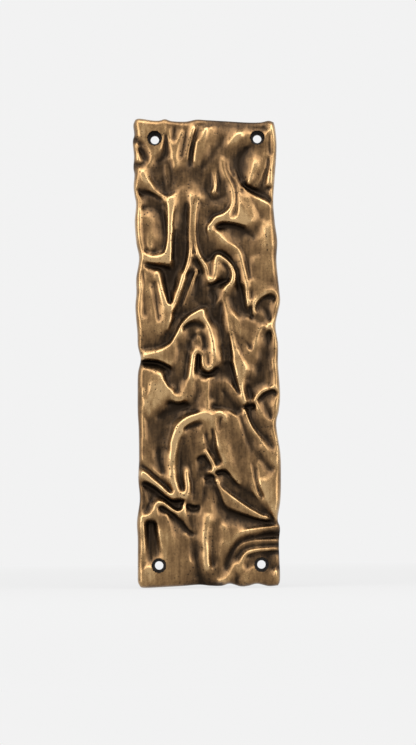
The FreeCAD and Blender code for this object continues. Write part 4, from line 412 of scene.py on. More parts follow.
# Crevice lines and pocket floors, in the same form.
VALLEYS = {
    "post_slot": (-0.02, 0.41, [(-32.6, -89.8), (-32.2, -95.9), (-32, -102.9), (-31.4, -109.6)]),
    "post_slot_right": (0.04, 0.41, [(-30.2, -90), (-29.8, -95.9), (-29, -101.9), (-28.2, -106.9)]),
    "channel_right": (0.26, 0.19, [(-11.6, 74), (-11.6, 66), (-11.6, 58), (-12.2, 50), (-13.8, 45)]),
    "oval_top": (0.28, 0.35, [(-12.6, -39.8), (-8.6, -38.2), (-4.8, -37)]),
    "tongue_groove": (0.35, 0.26, [(1.9, -40), (2.2, -46), (2.8, -51.3), (4.4, -57.3)]),
    "cave_floor": (0.48, 0.37, [
        (13.6, 60.4), (16.5, 58.2), (18.8, 55.6), (20.6, 52), (21.8, 45.9), (23, 40)]),
    "foot_nook": (0.26, 0.33, [(4.6, -81), (5.2, -86)]),
    "foot_gap_right": (0.48, 0.37, [(1.8, -91), (1.4, -97), (1.2, -105), (1.6, -113)]),
    "top_band": (0.37, 0.33, [(-6, 121.6), (4, 121.8), (18, 120.8), (27, 119.8), (32, 119.4)]),
    "pocket_right": (0.48, 0.3, [(-13, 98.5), (-13.1, 94.5), (-16.1, 89.6), (-19.2, 85.6)]),
    "lens_gap": (0.48, 0.46, [
        (10, 101.5), (10.4, 98), (12.4, 94.1), (14.7, 90.6), (15.8, 85.6), (16, 79.6), (15.2, 75.4),
        (13.8, 73.2)]),
    "plain_gap": (0.44, 0.44, [(26.6, 67), (27.6, 62)]),
    "deep_trough": (0.33, 0.48, [(-3, -71.1), (-3.2, -77.1), (-4.6, -83)]),
    "leaf_left_out": (0.26, 0.19, [(3, -69.7), (5, -75.1), (7, -80.6), (8.6, -84.6), (9.2, -88)]),
    "deep_cave_low": (0.15, 0.19, [(-1.4, -68.4), (1, -68), (3.8, -69)]),
    "meander_left": (0.26, 0.3, [(-11.2, 0), (-11.8, -6), (-13, -13)]),
    "hollow_floor": (0.41, 0.3, [
        (-3.1, 80.6), (-4.5, 73.7), (-4.8, 65.8), (-4, 57.8), (-2.2, 52.9), (-0.5, 50.3)]),
    "cell_top": (0.37, 0.33, [(-34, 84.6), (-30, 83.6), (-26, 81.6), (-22.6, 79)]),
    "panel_trough": (0.41, 0.39, [(9.3, 114.7), (2, 104.1), (-4.7, 96.8), (-11.4, 90.9), (-16.7, 87.5)]),
    "loop_nook": (0.3, 0.3, [(26.6, 25.6), (27.6, 22.6)]),
    "hook_slope": (0.59, 0.52, [(13.4, 17.1), (14.6, 11.2), (16, 5.7), (17.6, -0.2)]),
    "arch_outside": (0.22, 0.41, [
        (-1.1, 26.1), (-5.1, 24.4), (-10.6, 21.3), (-14.6, 16.9), (-17.6, 11.6), (-20.6, 7.4),
        (-24.1, 5.2), (-29.1, 4), (-34.6, 3.4)]),
    "spine_right": (0.41, 0.41, [(5, -16.6), (6.9, -22.5), (5.4, -27)]),
    "facet_hollow": (0.19, 0.26, [(21.4, -17.6), (22.2, -21.4), (22.4, -24)]),
    "tongue_top": (0.26, 0.3, [(2.4, -28), (6.9, -28.3), (11.4, -29), (14.9, -31.8)]),
    "wave_tail_right": (0.44, 0.44, [(-11.2, -84), (-10.6, -88), (-8.2, -92.5)]),
    "bottom_band": (0.26, 0.26, [(-6, -122.2), (6, -122.4)]),
    "pocket_b": (0.15, 0.07, [(22.4, 109.4), (19.4, 106.5), (17, 102.5), (17, 97.5), (18.6, 92.8)]),
    "meander_below": (0.15, 0.19, [(-21, -26.2), (-17.4, -27.4), (-13, -26.4)]),
    "dark_hollow": (0.07, 0.22, [
        (-10.6, -27.6), (-15.1, -28.9), (-19.6, -29.9), (-23.6, -31.5), (-26.4, -34)]),
    "soft_gap": (0.59, 0.48, [(-6.2, -14.6), (-6.4, -20.5), (-7.6, -26.5)]),
    "channel_two": (0.22, 0.44, [(21, -30.5), (22.9, -36.4), (26.7, -41.7), (31, -45.9), (34.2, -50.3)]),
    "small_hook_gap": (0.41, 0.33, [(-10.3, -57.3), (-10.4, -64.2), (-8.8, -69.2), (-8.6, -74.1)]),
    "oval_floor": (0.41, 0.33, [
        (-13.6, -44.4), (-15.2, -52.3), (-15.6, -59.2), (-15.3, -67.2), (-14.2, -72.1)]),
    "foot_gap": (0.52, 0.22, [(-8, -92), (-8.4, -100), (-7.8, -108), (-6.6, -115), (-5.4, -121)]),
    "strip_low": (0.52, 0.44, [(32.6, -9), (33, -14.6), (32, -19)]),
    "lower_pocket": (0.15, 0.44, [(32.6, 11.2), (31.8, 4.3), (31.8, -1.7), (32.4, -7.7)]),
    "cave": (0.07, 0.22, [(5.6, 67.4), (9.8, 68.3), (14, 68), (18, 66.6), (21.6, 64.4), (25, 61.6)]),
    "pocket_b_right": (0.44, 0.3, [(33.2, 103.5), (32.4, 98.5), (30.8, 93.5), (29.7, 88.1)]),
    "rib_trough_left": (0.54, 0.41, [(-10.6, 119.3), (-11.6, 112.4), (-13.2, 104.4)]),
    "pocket_crease": (0.41, 0.22, [(-19.6, 102.5), (-19.1, 95.5), (-19, 89.1)]),
    "hollow_right": (0.41, 0.26, [
        (5.8, 100.5), (7, 94.5), (9.6, 89), (11.4, 83), (10.6, 78), (7.4, 74.7), (3.4, 73.7),
        (0.9, 69.7)]),
    "below_cell": (0.3, 0.04, [(-32.4, 47.8), (-29.6, 47.2), (-24.6, 46.1), (-20.1, 44.9)]),
    "arch_floor_left": (0.44, 0.33, [(-14.6, 4.3), (-15.1, -3.7), (-16.1, -11.6), (-16.8, -20)]),
    "tongue_below": (0.33, 0.26, [
        (5.4, -64.2), (8.6, -64.4), (11.9, -67.2), (16.4, -71.5), (20.9, -74.1), (25.4, -77.6),
        (30.4, -83.5), (34.4, -88.4)]),
    "grey_facet_floor": (0.41, 0.37, [(7.9, -67.7), (12.4, -71.3), (16.4, -74.5)]),
    "hole_groove": (0.52, 0.52, [(34, 115.7), (33.9, 110.3), (34.4, 105.3)]),
    "lens_floor": (0.3, 0.3, [(14.4, 102.8), (13.6, 98.9), (14.9, 94.4)]),
    "vee_pit": (0.07, 0.11, [(-22.1, 44.4), (-21.4, 38), (-20.6, 31.5), (-20.2, 27.6)]),
    "sweep_gap_one": (0.3, 0.09, [
        (8.2, -114.5), (11.2, -107.4), (14.8, -101.6), (19.4, -98.8), (27, -97.5), (37, -97.2)]),
    "sweep_gap_two": (0.33, 0.22, [(13.4, -110.5), (16, -106), (20, -103.3), (28, -102.5), (37.4, -102)]),
    "sweep_gap_three": (0.3, 0.19, [(20.2, -108), (25, -106.6), (31, -105.9), (36.7, -105.5)]),
    "loop_upper_floor": (0.19, 0.22, [(29, 25), (31.6, 22.1), (32.8, 18.1)]),
    "line_gap": (0.59, 0.59, [(19, -32.5), (21, -38.4), (24, -44), (27.4, -48.5)]),
    "tongue_outside": (0.48, 0.44, [(17, -33.4), (18.8, -39.4), (21, -46.3), (23.4, -52.3)]),
    "sweep_above": (0.33, 0.33, [(18, -92), (26, -91.4), (35, -91)]),
    "wing_slot": (0.04, 0.07, [(-35.1, -3.8), (-29.6, -4), (-25.1, -5), (-21, -7.4)]),
    "wing_above": (0.37, 0.3, [
        (-36.1, -59.4), (-32.6, -61.6), (-28.1, -65.6), (-23.6, -69.6), (-20.6, -73.4)]),
    "cell_floor_low": (0.37, 0.37, [(-33, 55.6), (-28, 54.4), (-23.6, 55.6)]),
    "lens_outside": (0.41, 0.41, [(14.4, 97.5), (17.2, 92), (18.8, 86)]),
    "oval_above": (0.26, 0.3, [(-21, -37), (-17.4, -33.8), (-12, -31), (-6.5, -30.2)]),
    "oval_outside": (0.33, 0.41, [(-20.5, -39), (-22.5, -46), (-23, -51)]),
    "oval_floor_right": (0.44, 0.41, [(-7.6, -43.4), (-9.1, -49.3), (-10.8, -55.3)]),
    "nub_gap": (0.48, 0.41, [(19.8, -110.8), (19.6, -114)]),
    "channel": (0.33, 0.09, [
        (-11, 80), (-11.6, 75), (-12.5, 69.7), (-13.4, 59.8), (-14.8, 51.9), (-17.2, 43.9), (-18.6, 35)]),
    "arch_top_gap": (0.26, 0.3, [(0.6, 25), (1.8, 21.5), (2.8, 17.5)]),
    "arch_core": (0.26, 0.26, [(-10, 3), (-8.8, 8.6), (-5.5, 10.6), (-2.6, 8), (-1.5, 3)]),
    "deep_cave": (0, 0, [(-1.8, -66), (0.8, -65.4), (3.8, -66)]),
    "dark_band": (0.19, 0.37, [(-13.6, 23.1), (-18.1, 17.1), (-21.6, 11.7), (-24.6, 7.7)]),
    "hollow_floor_mid": (0.44, 0.37, [(0.4, 77.7), (-0.8, 71), (-1, 63.8), (2.4, 57.8)]),
    "roll_groove": (0.89, 0.89, [(-34, 97), (-33.6, 94), (-31.8, 90.6)]),
    "small_hook_pocket": (0.07, 0.19, [(-5.6, -56), (-3.4, -55), (-1.4, -57.4), (0.2, -60.6)]),
    "small_hook_floor": (0.26, 0.22, [(-5.6, -61.5), (-2.6, -61.2)]),
    "fork_trough": (0.37, 0.3, [(-21.4, 116.3), (-21.6, 111.4), (-22.1, 105.4), (-26.1, 102)]),
    "spike_left": (0.33, 0.28, [(2.2, 95.5), (2.8, 90.6), (2, 87.1)]),
    "spike_right": (0.33, 0.24, [(5.8, 96), (6.6, 90.6), (6.6, 86.2)]),
    "hollow_pit": (0.28, 0.22, [(0.8, 84), (3.8, 82.4), (8, 83.8)]),
    "cell_top_inside": (0.3, 0.3, [(-33.6, 78.1), (-29.6, 78.7), (-25.6, 77.1)]),
    "strip_gap": (0.56, 0.52, [(-34.2, 43.9), (-34, 36), (-34.3, 28.1), (-33.4, 20.1)]),
    "left_panel_low": (0.48, 0.41, [(-28.1, 38), (-27.1, 28.1), (-26.2, 18.1)]),
    "slot": (0.26, 0.26, [(6.4, 16.2), (7.4, 9.2), (8.4, 2.3), (9, -3.7)]),
    "slot_right": (0.3, 0.26, [(10.6, 10.2), (11.4, 3.3), (12, -2.7)]),
    "slot_core": (0.11, 0.22, [(6.2, 16.8), (7.2, 13.2), (8, 9.2)]),
    "strut_gap": (0.33, 0.22, [(6.9, 27.1), (6.4, 22.6), (6.6, 18.6)]),
    "meander_pocket": (0.52, 0.48, [(0.2, 2.3), (0, -1.7), (0.2, -5.7)]),
    "arch_inside": (0.19, 0.22, [(-12.6, 13.8), (-9.6, 15.6), (-5.6, 16), (-3, 14.2)]),
    "facet_floor": (0.41, 0.37, [(21, -13.2), (25.4, -15.6), (29.4, -14.6)]),
    "pocket_left": (0.41, 0.19, [(-28.6, 98.5), (-28.1, 93.5), (-24.6, 89.1), (-21, 85.2)]),
    "pocket_mid": (0.33, 0.15, [(-24.1, 99.5), (-23.6, 93.5), (-21.4, 87.6)]),
    "channel_left": (0.3, 0.19, [(-16.2, 65.8), (-17.2, 57.8), (-17.6, 50.9)]),
    "cell_groove_right": (0.22, 0.3, [(-24.2, 76.3), (-22.4, 67.7), (-22.2, 59.8), (-23.8, 54.4)]),
    "arch_floor": (0.52, 0.52, [(-10.6, 8.2), (-8.2, 6.2), (-8.2, 3.3)]),
    "tail_gap": (0.26, 0.22, [(18, 8.8), (20.4, 5.2), (22.8, 2.3)]),
    "star_cave": (0.04, 0.11, [(3.4, -63.6), (6.9, -63.2), (10.4, -64.8)]),
    "tongue_streak_right": (0.54, 0.57, [(13.4, -39.4), (14.8, -47.3), (17, -55.3)]),
    "edge_pocket_top_left": (0.3, 0.26, [(-35.6, 109.4), (-33.1, 106.4), (-32.1, 103.5)]),
    "edge_notch_top_left": (0.37, 0.37, [(-38, 114.4), (-36.4, 112.9), (-34.1, 111.4)]),
    "edge_notch_two": (0.3, 0.33, [(-38, 101.5), (-36.6, 100.7), (-33.6, 101.7)]),
    "fan_trough": (0.41, 0.3, [(-16.8, 120.3), (-17.2, 114.4)]),
    "rib_trough_right": (0.37, 0.26, [(-4.2, 120.5), (-6.4, 113.9), (-7.9, 107.4), (-8.6, 100)]),
    "below_roll": (0.22, 0.22, [
        (-36.6, 87.6), (-34.8, 85.8), (-31.6, 85.8), (-28.1, 84.6), (-24.6, 82.1)]),
    "twin_groove": (0.59, 0.3, [(-7, 82.1), (-7.4, 75.7), (-7.8, 67.7), (-7.5, 59.3), (-6.9, 53.4)]),
    "twin_gap": (0.26, 0.19, [(-6.4, 50.4), (-4.6, 46.4), (-3.6, 42.9)]),
    "hollow_left": (0.41, 0.22, [(1.9, 96.5), (-0.4, 91.5), (-1.1, 87.6), (1.9, 84.1)]),
    "above_hook": (0.15, 0.22, [
        (-0.5, 50.1), (2.3, 51.9), (5.4, 54.1), (8.6, 52.9), (12.6, 49.4), (15.6, 43.9), (16.4, 38)]),
    "pocket_b_low": (0.07, 0.19, [(19.4, 90.2), (22.9, 87.6), (26.9, 85.9), (31.4, 83.8), (34.4, 80.6)]),
    "edge_dark_right": (0.26, 0.26, [(31.4, 87.2), (34.6, 88.2)]),
    "plain_corner": (0.48, 0.44, [(22.9, 34), (22.8, 29.1)]),
    "loop_gap": (0.15, 0.11, [(22.8, 25.1), (23.2, 21.6), (23.6, 19.1)]),
    "hook_side": (0.15, 0.22, [(16.9, 37), (17.9, 31), (18.9, 25.1), (21.2, 19.6)]),
    "hook_side_low": (0.33, 0.3, [(12.9, 30), (14.4, 25.1), (17.9, 20.1)]),
    "hook_pocket": (0.48, 0.41, [(8.9, 47.9), (11, 44.9), (11.4, 41.9), (9.4, 40)]),
    "hook_under": (0.11, 0.15, [(0.6, 36.2), (3.9, 37.3), (7.4, 38), (10.9, 39.2)]),
    "hook_under_low": (0.07, 0.15, [(1.4, 34), (3.6, 30.5), (2.9, 26.1)]),
    "loop_pocket": (0.48, 0.48, [(1.6, 48.4), (1.3, 44.9), (1.3, 41.6)]),
    "floor_panel": (0.22, 0.22, [(-5.1, 41), (-5.6, 35), (-6.6, 29.1), (-4.6, 27.1)]),
    "stroke_gap_one": (0.26, 0.22, [(-9.6, 43.4), (-11.2, 38), (-12.8, 33), (-14.8, 27.1), (-18, 20.9)]),
    "stroke_gap_two": (0.22, 0.19, [(-7.6, 43.9), (-9, 39), (-10.9, 33.5), (-13.4, 27.1)]),
    "meander_slot": (0.07, 0.19, [(-5.2, -0.5), (-5.4, -4.7), (-5.9, -9.6)]),
    "meander_under": (0.07, 0.07, [(-3, -9.8), (-0.4, -11.1), (2.6, -10), (5, -8.2)]),
    "slot_low": (0.11, 0.22, [(9.2, -5.3), (11.4, -5.7), (12.4, -9.6), (14, -15.6), (16, -21.5)]),
    "wing_slot_low": (0.15, 0.3, [(-20.6, -8.6), (-22.6, -12.6), (-20.4, -17.1)]),
    "left_hollow": (0.3, 0.26, [(-24.1, -37.4), (-26.1, -46.3), (-26.6, -55.3), (-24.6, -63.2)]),
    "spine_gap": (0.37, 0.37, [(1.4, -13.6), (1.4, -18.6), (1.6, -23.5)]),
    "return_below": (0.22, 0.22, [(7.4, -19.6), (10.4, -23), (13.9, -27.5), (16.4, -30.5)]),
    "tongue_finger_gap": (0.48, 0.56, [(7, -33.4), (5.5, -36.9), (5.2, -40.9)]),
    "right_dark": (0.37, 0.33, [(28.9, 2.3), (28.4, -4.7), (26.4, -10.6)]),
    "loop_upper_top": (0.22, 0.22, [(26.1, 23.1), (28.9, 28.1), (32.9, 30.3), (35.6, 28.7)]),
    "cave_two": (0, 0.04, [(19.4, -28.5), (21.9, -28.5), (24.4, -27.9)]),
    "loop_lower_top": (0.22, 0.22, [(26.9, -25), (29.9, -21.9), (33.9, -20.4), (36, -21.9)]),
    "loop_lower_floor": (0.41, 0.37, [(30.4, -26.5), (31.9, -30.5), (33.2, -34.4)]),
    "oval_mid": (0.37, 0.3, [(-1.6, -42.4), (-0.8, -47.3), (1.4, -53.3)]),
    "lobe_under": (0.04, 0.07, [(-11.9, -80.6), (-9.1, -82.3), (-5.8, -81.5)]),
    "small_lobe_floor": (0.41, 0.41, [(-8, -71.6), (-8.6, -77.6)]),
    "bridge_over": (0.26, 0.3, [(3.8, -58.6), (5.4, -56.9)]),
    "leaf_above": (0.3, 0.3, [(5.6, -69.7), (10.4, -73.4), (16.4, -77.9), (23.4, -82.6), (29.4, -86.4)]),
    "leaf_below": (0.07, 0.19, [
        (8, -82.1), (9.4, -84), (13.9, -85.6), (19.4, -87.4), (26.4, -89), (33.4, -90.2)]),
    "petal_gap": (0.41, 0.48, [(23, -58.2), (24.4, -65.2), (25.6, -71.1), (27.8, -76.7)]),
    "petal_top": (0.41, 0.41, [(26.4, -53.3), (29.4, -57.7), (33.4, -62.2)]),
    "wing_below": (0.11, 0, [
        (-35, -68.8), (-30.6, -71.1), (-25.6, -74.8), (-21.1, -78), (-17.1, -79.1), (-14, -78.3)]),
    "wave_hollow": (0.19, 0.33, [(-31.1, -77.1), (-33.1, -81.6), (-34.1, -84)]),
    "wave_hollow_right": (0.04, 0.07, [(-22.1, -78.7), (-18.1, -81.6), (-15.4, -81.3)]),
    "wave_below": (0.19, 0.22, [
        (-26.2, -81.5), (-20.6, -85), (-16.2, -89.4), (-12.2, -93.6), (-8.1, -96.3)]),
    "right_notch": (0.33, 0.26, [(31.4, -114.2), (36.6, -114.2)]),
    "foot_notch": (0.33, 0.33, [(14.4, -116.8), (14, -121.7)]),
}


def smooth_line(points, spacing):
    """Points close together on a smooth curve through the given points."""
    given = np.array(points, float)
    run = np.vstack([2 * given[0] - given[1], given, 2 * given[-1] - given[-2]])
    stretches = []
    for p0, p1, p2, p3 in zip(run, run[1:], run[2:], run[3:]):
        steps = max(2, int(np.hypot(*(p2 - p1)) / spacing))
        t = (np.arange(steps) / steps)[:, None]
        bend = 2 * p0 - 5 * p1 + 4 * p2 - p3 + t * (3 * (p1 - p2) + p3 - p0)
        stretches.append(p1 + 0.5 * t * ((p2 - p0) + t * bend))
    return np.vstack(stretches + [given[-1:]])


def pull_on_cells(rows, columns):
    """Pull of every fold line on the cells it crosses: strength, and strength times level."""
    total_strength = 0
    total_moment = 0
    lips = [line for line in CRESTS.values() if line[0] + line[1] > 2 * LIP_LEVEL]
    crests = [line for line in CRESTS.values() if line not in lips]
    holds = (
        (lips, LIP_PULL, LIP_BREADTH),
        (crests, CREST_PULL, CREST_BREADTH),
        (VALLEYS.values(), VALLEY_PULL, VALLEY_BREADTH))
    for group, pull, breadth in holds:
        strength = np.zeros((rows, columns))
        moment = np.zeros((rows, columns))
        for first, last, points in group:
            line = smooth_line(points, 0.4 * CELL)
            level = np.linspace(first, last, len(line))
            column = (line[:, 0] + HALF_ACROSS) / CELL
            row = (line[:, 1] + HALF_UP) / CELL
            for row_step in (0, 1):
                for column_step in (0, 1):
                    r = row.astype(int) + row_step
                    c = column.astype(int) + column_step
                    share = pull * (1 - abs(row - r)) * (1 - abs(column - c))
                    np.add.at(strength, (r, c), share)
                    np.add.at(moment, (r, c), share * level)
        total_strength += blurred(strength, breadth)
        total_moment += blurred(moment, breadth)
    return total_strength, total_moment


def relaxed_skin():
    """Heights of the skin on a square grid, at rest between the pulls of the fold lines."""
    rows = int(2 * HALF_UP / CELL) + 2
    columns = int(2 * HALF_ACROSS / CELL) + 2
    strength, moment = pull_on_cells(rows, columns)
    skin = np.full((rows, columns), LEVEL_AT_REST)
    checker = np.indices(skin.shape).sum(axis=0) % 2
    for _ in range(RELAX_ROUNDS):
        for colour in (0, 1):
            edged = np.pad(skin, 1, mode="edge")
            around = edged[2:, 1:-1] + edged[:-2, 1:-1] + edged[1:-1, 2:] + edged[1:-1, :-2]
            rest = (around + moment) / (4 + strength)
            skin += OVER_RELAX * (rest - skin) * (checker == colour)
    return FLOOR_HEIGHT + skin * (CREST_HEIGHT - FLOOR_HEIGHT)


def uneven(skin):
    """The skin with the gentle unevenness of a surface worked by hand in wax."""
    chance = np.random.default_rng(7)
    for spread, depth in SWELLS:
        swell = blurred(chance.standard_normal(skin.shape), spread)
        skin = skin + depth * swell / swell.std()
    return skin


def blurred(field, sigma):
    """A field on the skin's grid, blurred over sigma millimetres."""
    reach = int(3 * sigma / CELL) + 1
    offsets = np.arange(-reach, reach + 1) * CELL
    weights = np.exp(-0.5 * (offsets / sigma) ** 2)
    weights /= weights.sum()
    for axis in (0, 1):
        edged = np.pad(field, [(reach, reach) if a == axis else (0, 0) for a in (0, 1)], mode="edge")
        parts = [w * np.take(edged, np.arange(n, n + field.shape[axis]), axis=axis)
                 for n, w in enumerate(weights)]
        field = sum(parts)
    return field


def looked_up(field, across, up):
    """Values of a field on the skin's grid at places on the pattern."""
    column = np.clip((across + HALF_ACROSS) / CELL, 0, field.shape[1] - 1.001)
    row = np.clip((up + HALF_UP) / CELL, 0, field.shape[0] - 1.001)
    c = column.astype(int)
    r = row.astype(int)
    low = field[r, c] + (field[r, c + 1] - field[r, c]) * (column - c)
    high = field[r + 1, c] + (field[r + 1, c + 1] - field[r + 1, c]) * (column - c)
    return low + (high - low) * (row - r)


def along_edge(points, shares):
    """Points at the given shares of the way along a smooth curve."""
    line = smooth_line(points, 0.25)
    gone = np.concatenate([[0], np.cumsum(np.hypot(*np.diff(line, axis=0).T))])
    want = shares * gone[-1]
    return np.stack([np.interp(want, gone, line[:, axis]) for axis in (0, 1)], axis=-1)


def crowded_shares(count):
    """Shares from 0 to 1 that lie closer together near both ends."""
    even = np.linspace(0, 1, count)
    return even - CROWDING * np.sin(2 * math.pi * even) / (2 * math.pi)


def plan_grid():
    """Places of the mesh points on the pattern, spread inside the wavy outline."""
    u = crowded_shares(POINTS_ACROSS)
    v = np.linspace(0, 1, POINTS_UP)
    low = along_edge(BOTTOM_EDGE, u)[:, None]
    high = along_edge(TOP_EDGE, u)[:, None]
    left = along_edge(LEFT_EDGE[::-1], v)[None]
    right = along_edge(RIGHT_EDGE[::-1], v)[None]
    u = u[:, None, None]
    v = v[None, :, None]
    corners = ((1 - u) * (1 - v) * low[0, 0] + u * (1 - v) * low[-1, 0]
               + (1 - u) * v * high[0, 0] + u * v * high[-1, 0])
    return (1 - u) * left + u * right + (1 - v) * low + v * high - corners


def edge_distance(plan):
    """Distance in millimetres from each place to the nearest point of the outline, close to it."""
    sides = [plan[:1], plan[-1:], plan[:, :1], plan[:, -1:]]
    gaps = [np.hypot(*np.moveaxis(plan - side, -1, 0)) for side in sides]
    near = np.minimum.reduce(gaps)
    both = np.minimum(gaps[0], gaps[1]), np.minimum(gaps[2], gaps[3])
    corner = np.clip(1 - np.maximum(*both) / ROLL_RADIUS, 0, 1)
    return near * (1 - CORNER_ROUNDING * corner)


def plate_mesh(skin, plan, scale):
    """The plate as a closed mesh in metres, without its screw holes."""
    across = plan[..., 0]
    up = plan[..., 1]
    inside = np.clip(edge_distance(plan) / ROLL_RADIUS, 0, 1)
    roll = np.sqrt(1 - (1 - inside) ** 2)
    height = EDGE_LAND + (looked_up(skin, across, up) - EDGE_LAND) * roll
    over = np.maximum(height - SOFT_TOP, 0)
    tallest = (cad_high.y - cad_low.y) / MM
    height = height - over * (1 - (tallest - SOFT_TOP) / over.max())
    front = np.stack([across, -height, up], axis=-1).reshape(-1, 3)
    index = np.arange(POINTS_ACROSS * POINTS_UP).reshape(POINTS_ACROSS, POINTS_UP)
    quads = np.stack([index[:-1, :-1], index[1:, :-1], index[1:, 1:], index[:-1, 1:]], axis=-1)
    rim = np.concatenate([index[:, 0], index[-1, 1:], index[-2::-1, -1], index[0, -2:0:-1]])
    foot = front[rim] * (1, 0, 1)
    foot_index = len(front) + np.arange(len(rim))
    following = np.roll(np.arange(len(rim)), -1)
    walls = np.stack([foot_index, foot_index[following], rim[following], rim], axis=-1)
    faces = quads.reshape(-1, 4).tolist() + walls.tolist() + [foot_index[::-1].tolist()]
    mesh = bpy.data.meshes.new("finger_plate_cast")
    mesh.from_pydata((np.vstack([front, foot]) * scale * MM).tolist(), [], faces)
    mesh.validate()
    return mesh


def pattern_scale(plan):
    """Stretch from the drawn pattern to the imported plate, across, out and up."""
    size = cad_high - cad_low
    drawn = np.ptp(plan.reshape(-1, 2), axis=0)
    return np.array([size.x / MM / drawn[0], 1, size.z / MM / drawn[1]])


def hole_places():
    """Centres of the screw holes in metres, and their radius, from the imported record."""
    mount = next(m for m in frame["record"]["mounts"] if m["name"] == "screw_holes")
    middle = mount["pos_m"]
    half_across = mount["dims"]["spacing_x_mm"] * MM / 2
    half_up = mount["dims"]["spacing_y_mm"] * MM / 2
    places = [(middle[0] + a * half_across, middle[2] + b * half_up) for a in (-1, 1) for b in (-1, 1)]
    return places, mount["dims"]["hole_r_mm"] * MM


def hole_cutter():
    """All screw holes as one mesh to cut with: shank, conical seat and head clearance."""
    places, shank = hole_places()
    head = HEAD_RADIUS * MM
    seat = SEAT_HEIGHT * MM
    behind = 0.01
    in_front = -0.02
    cone_end = -seat - (head - shank)
    profile = [(shank, behind), (shank, -seat), (head, cone_end), (head, in_front)]
    turns = 64
    builder = bmesh.new()
    for x, z in places:
        rings = []
        for radius, y in profile:
            angles = [2 * math.pi * n / turns for n in range(turns)]
            round_ = [(x + radius * math.cos(a), y, z + radius * math.sin(a)) for a in angles]
            rings.append([builder.verts.new(place) for place in round_])
        for lower, upper in zip(rings, rings[1:]):
            for n in range(turns):
                m = (n + 1) % turns
                builder.faces.new((lower[n], lower[m], upper[m], upper[n]))
        builder.faces.new(rings[0][::-1])
        builder.faces.new(rings[-1])
    bmesh.ops.recalc_face_normals(builder, faces=builder.faces)
    mesh = bpy.data.meshes.new("hole_cutter")
    builder.to_mesh(mesh)
    builder.free()
    return bpy.data.objects.new("hole_cutter", mesh)


def drilled(plate):
    """Cuts the screw holes out of the plate."""
    cutter = hole_cutter()
    bpy.context.scene.collection.objects.link(cutter)
    cut = plate.modifiers.new("screw_holes", "BOOLEAN")
    cut.operation = "DIFFERENCE"
    cut.solver = "EXACT"
    cut.object = cutter
    evaluated = plate.evaluated_get(bpy.context.evaluated_depsgraph_get())
    mesh = bpy.data.meshes.new_from_object(evaluated)
    plate.modifiers.clear()
    plate.data = mesh
    bpy.data.objects.remove(cutter)


def in_hole(mesh):
    """Whether each point of the mesh is on the wall of a screw hole."""
    places = np.empty(len(mesh.vertices) * 3)
    mesh.vertices.foreach_get("co", places)
    places = places.reshape(-1, 3)
    centres, _ = hole_places()
    gaps = [np.hypot(places[:, 0] - x, places[:, 2] - z) for x, z in centres]
    return np.minimum.reduce(gaps) < (HEAD_RADIUS + HOLE_MARGIN) * MM


def mark_patina_and_shade(plate, skin, scale):
    """Stores on every point how high and how hollow the casting is there, for the patina and painted
    shade.
    """
    mesh = plate.data
    places = np.empty(len(mesh.vertices) * 3)
    mesh.vertices.foreach_get("co", places)
    places = places.reshape(-1, 3) / MM / scale
    across = places[:, 0]
    up = places[:, 2]
    # The fold and lip marks are patina and rubbing, and also painted shade in the crevices.
    fields = {
        "level": (looked_up(skin, across, up) - FLOOR_HEIGHT) / (CREST_HEIGHT - FLOOR_HEIGHT),
        "fold": 0.5 + looked_up(skin - blurred(skin, FOLD_BLUR), across, up) / FOLD_RANGE,
        "lip": 0.5 + looked_up(skin - blurred(skin, LIP_BLUR), across, up) / LIP_RANGE,
    }
    # The walls of the screw holes get the darkest value: painted shade inside the holes.
    hole_shade = in_hole(mesh)
    back = places[:, 1] > -BACK_LAYER
    for name, field in fields.items():
        values = np.where(back, BACK_FINISH, np.where(hole_shade, 0, field))
        layer = mesh.attributes.new(name, "FLOAT", "POINT")
        layer.data.foreach_set("value", np.clip(values, 0, 1).astype(np.float32))


def node(tree, kind, inputs=(), **settings):
    """Adds a shader node, sets its properties, and fills its inputs with values or links."""
    made = tree.nodes.new(kind)
    for name, value in settings.items():
        setattr(made, name, value)
    for key, value in dict(inputs).items():
        if isinstance(value, bpy.types.NodeSocket):
            tree.links.new(value, made.inputs[key])
        else:
            made.inputs[key].default_value = value
    return made


def ramp(tree, factor, stops):
    """Colour ramp with the given (place, colour) stops."""
    made = node(tree, "ShaderNodeValToRGB", {"Fac": factor})
    marks = made.color_ramp.elements
    while len(marks) < len(stops):
        marks.new(1)
    for mark, (place, colour) in zip(marks, stops):
        mark.position = place
        mark.color = (*colour, 1)
    return made.outputs["Color"]


def level_of(tree, value, low, high, to_low=0.0, to_high=1.0):
    """Value brought from one range to another, and held inside it."""
    made = node(tree, "ShaderNodeMapRange", {
        "Value": value, "From Min": low, "From Max": high, "To Min": to_low, "To Max": to_high})
    return made.outputs["Result"]


def sums(tree, operation, first, second):
    """One arithmetic step."""
    made = node(tree, "ShaderNodeMath", {0: first, 1: second}, operation=operation)
    return made.outputs[0]


def blend_colours(tree, factor, first, second):
    """Two colours mixed by a factor."""
    made = node(tree, "ShaderNodeMix", data_type="RGBA")
    for name, value in (("Factor_Float", factor), ("A_Color", first), ("B_Color", second)):
        socket = next(s for s in made.inputs if s.identifier == name)
        if isinstance(value, bpy.types.NodeSocket):
            tree.links.new(value, socket)
        else:
            socket.default_value = value if name == "Factor_Float" else (*value, 1)
    return next(s for s in made.outputs if s.identifier == "Result_Color")


def noise(tree, place, scale, detail):
    """Cloudy noise of the given scale per metre."""
    made = node(tree, "ShaderNodeTexNoise", {
        "Vector": place, "Scale": scale, "Detail": detail, "Roughness": 0.55})
    return made.outputs["Fac"]


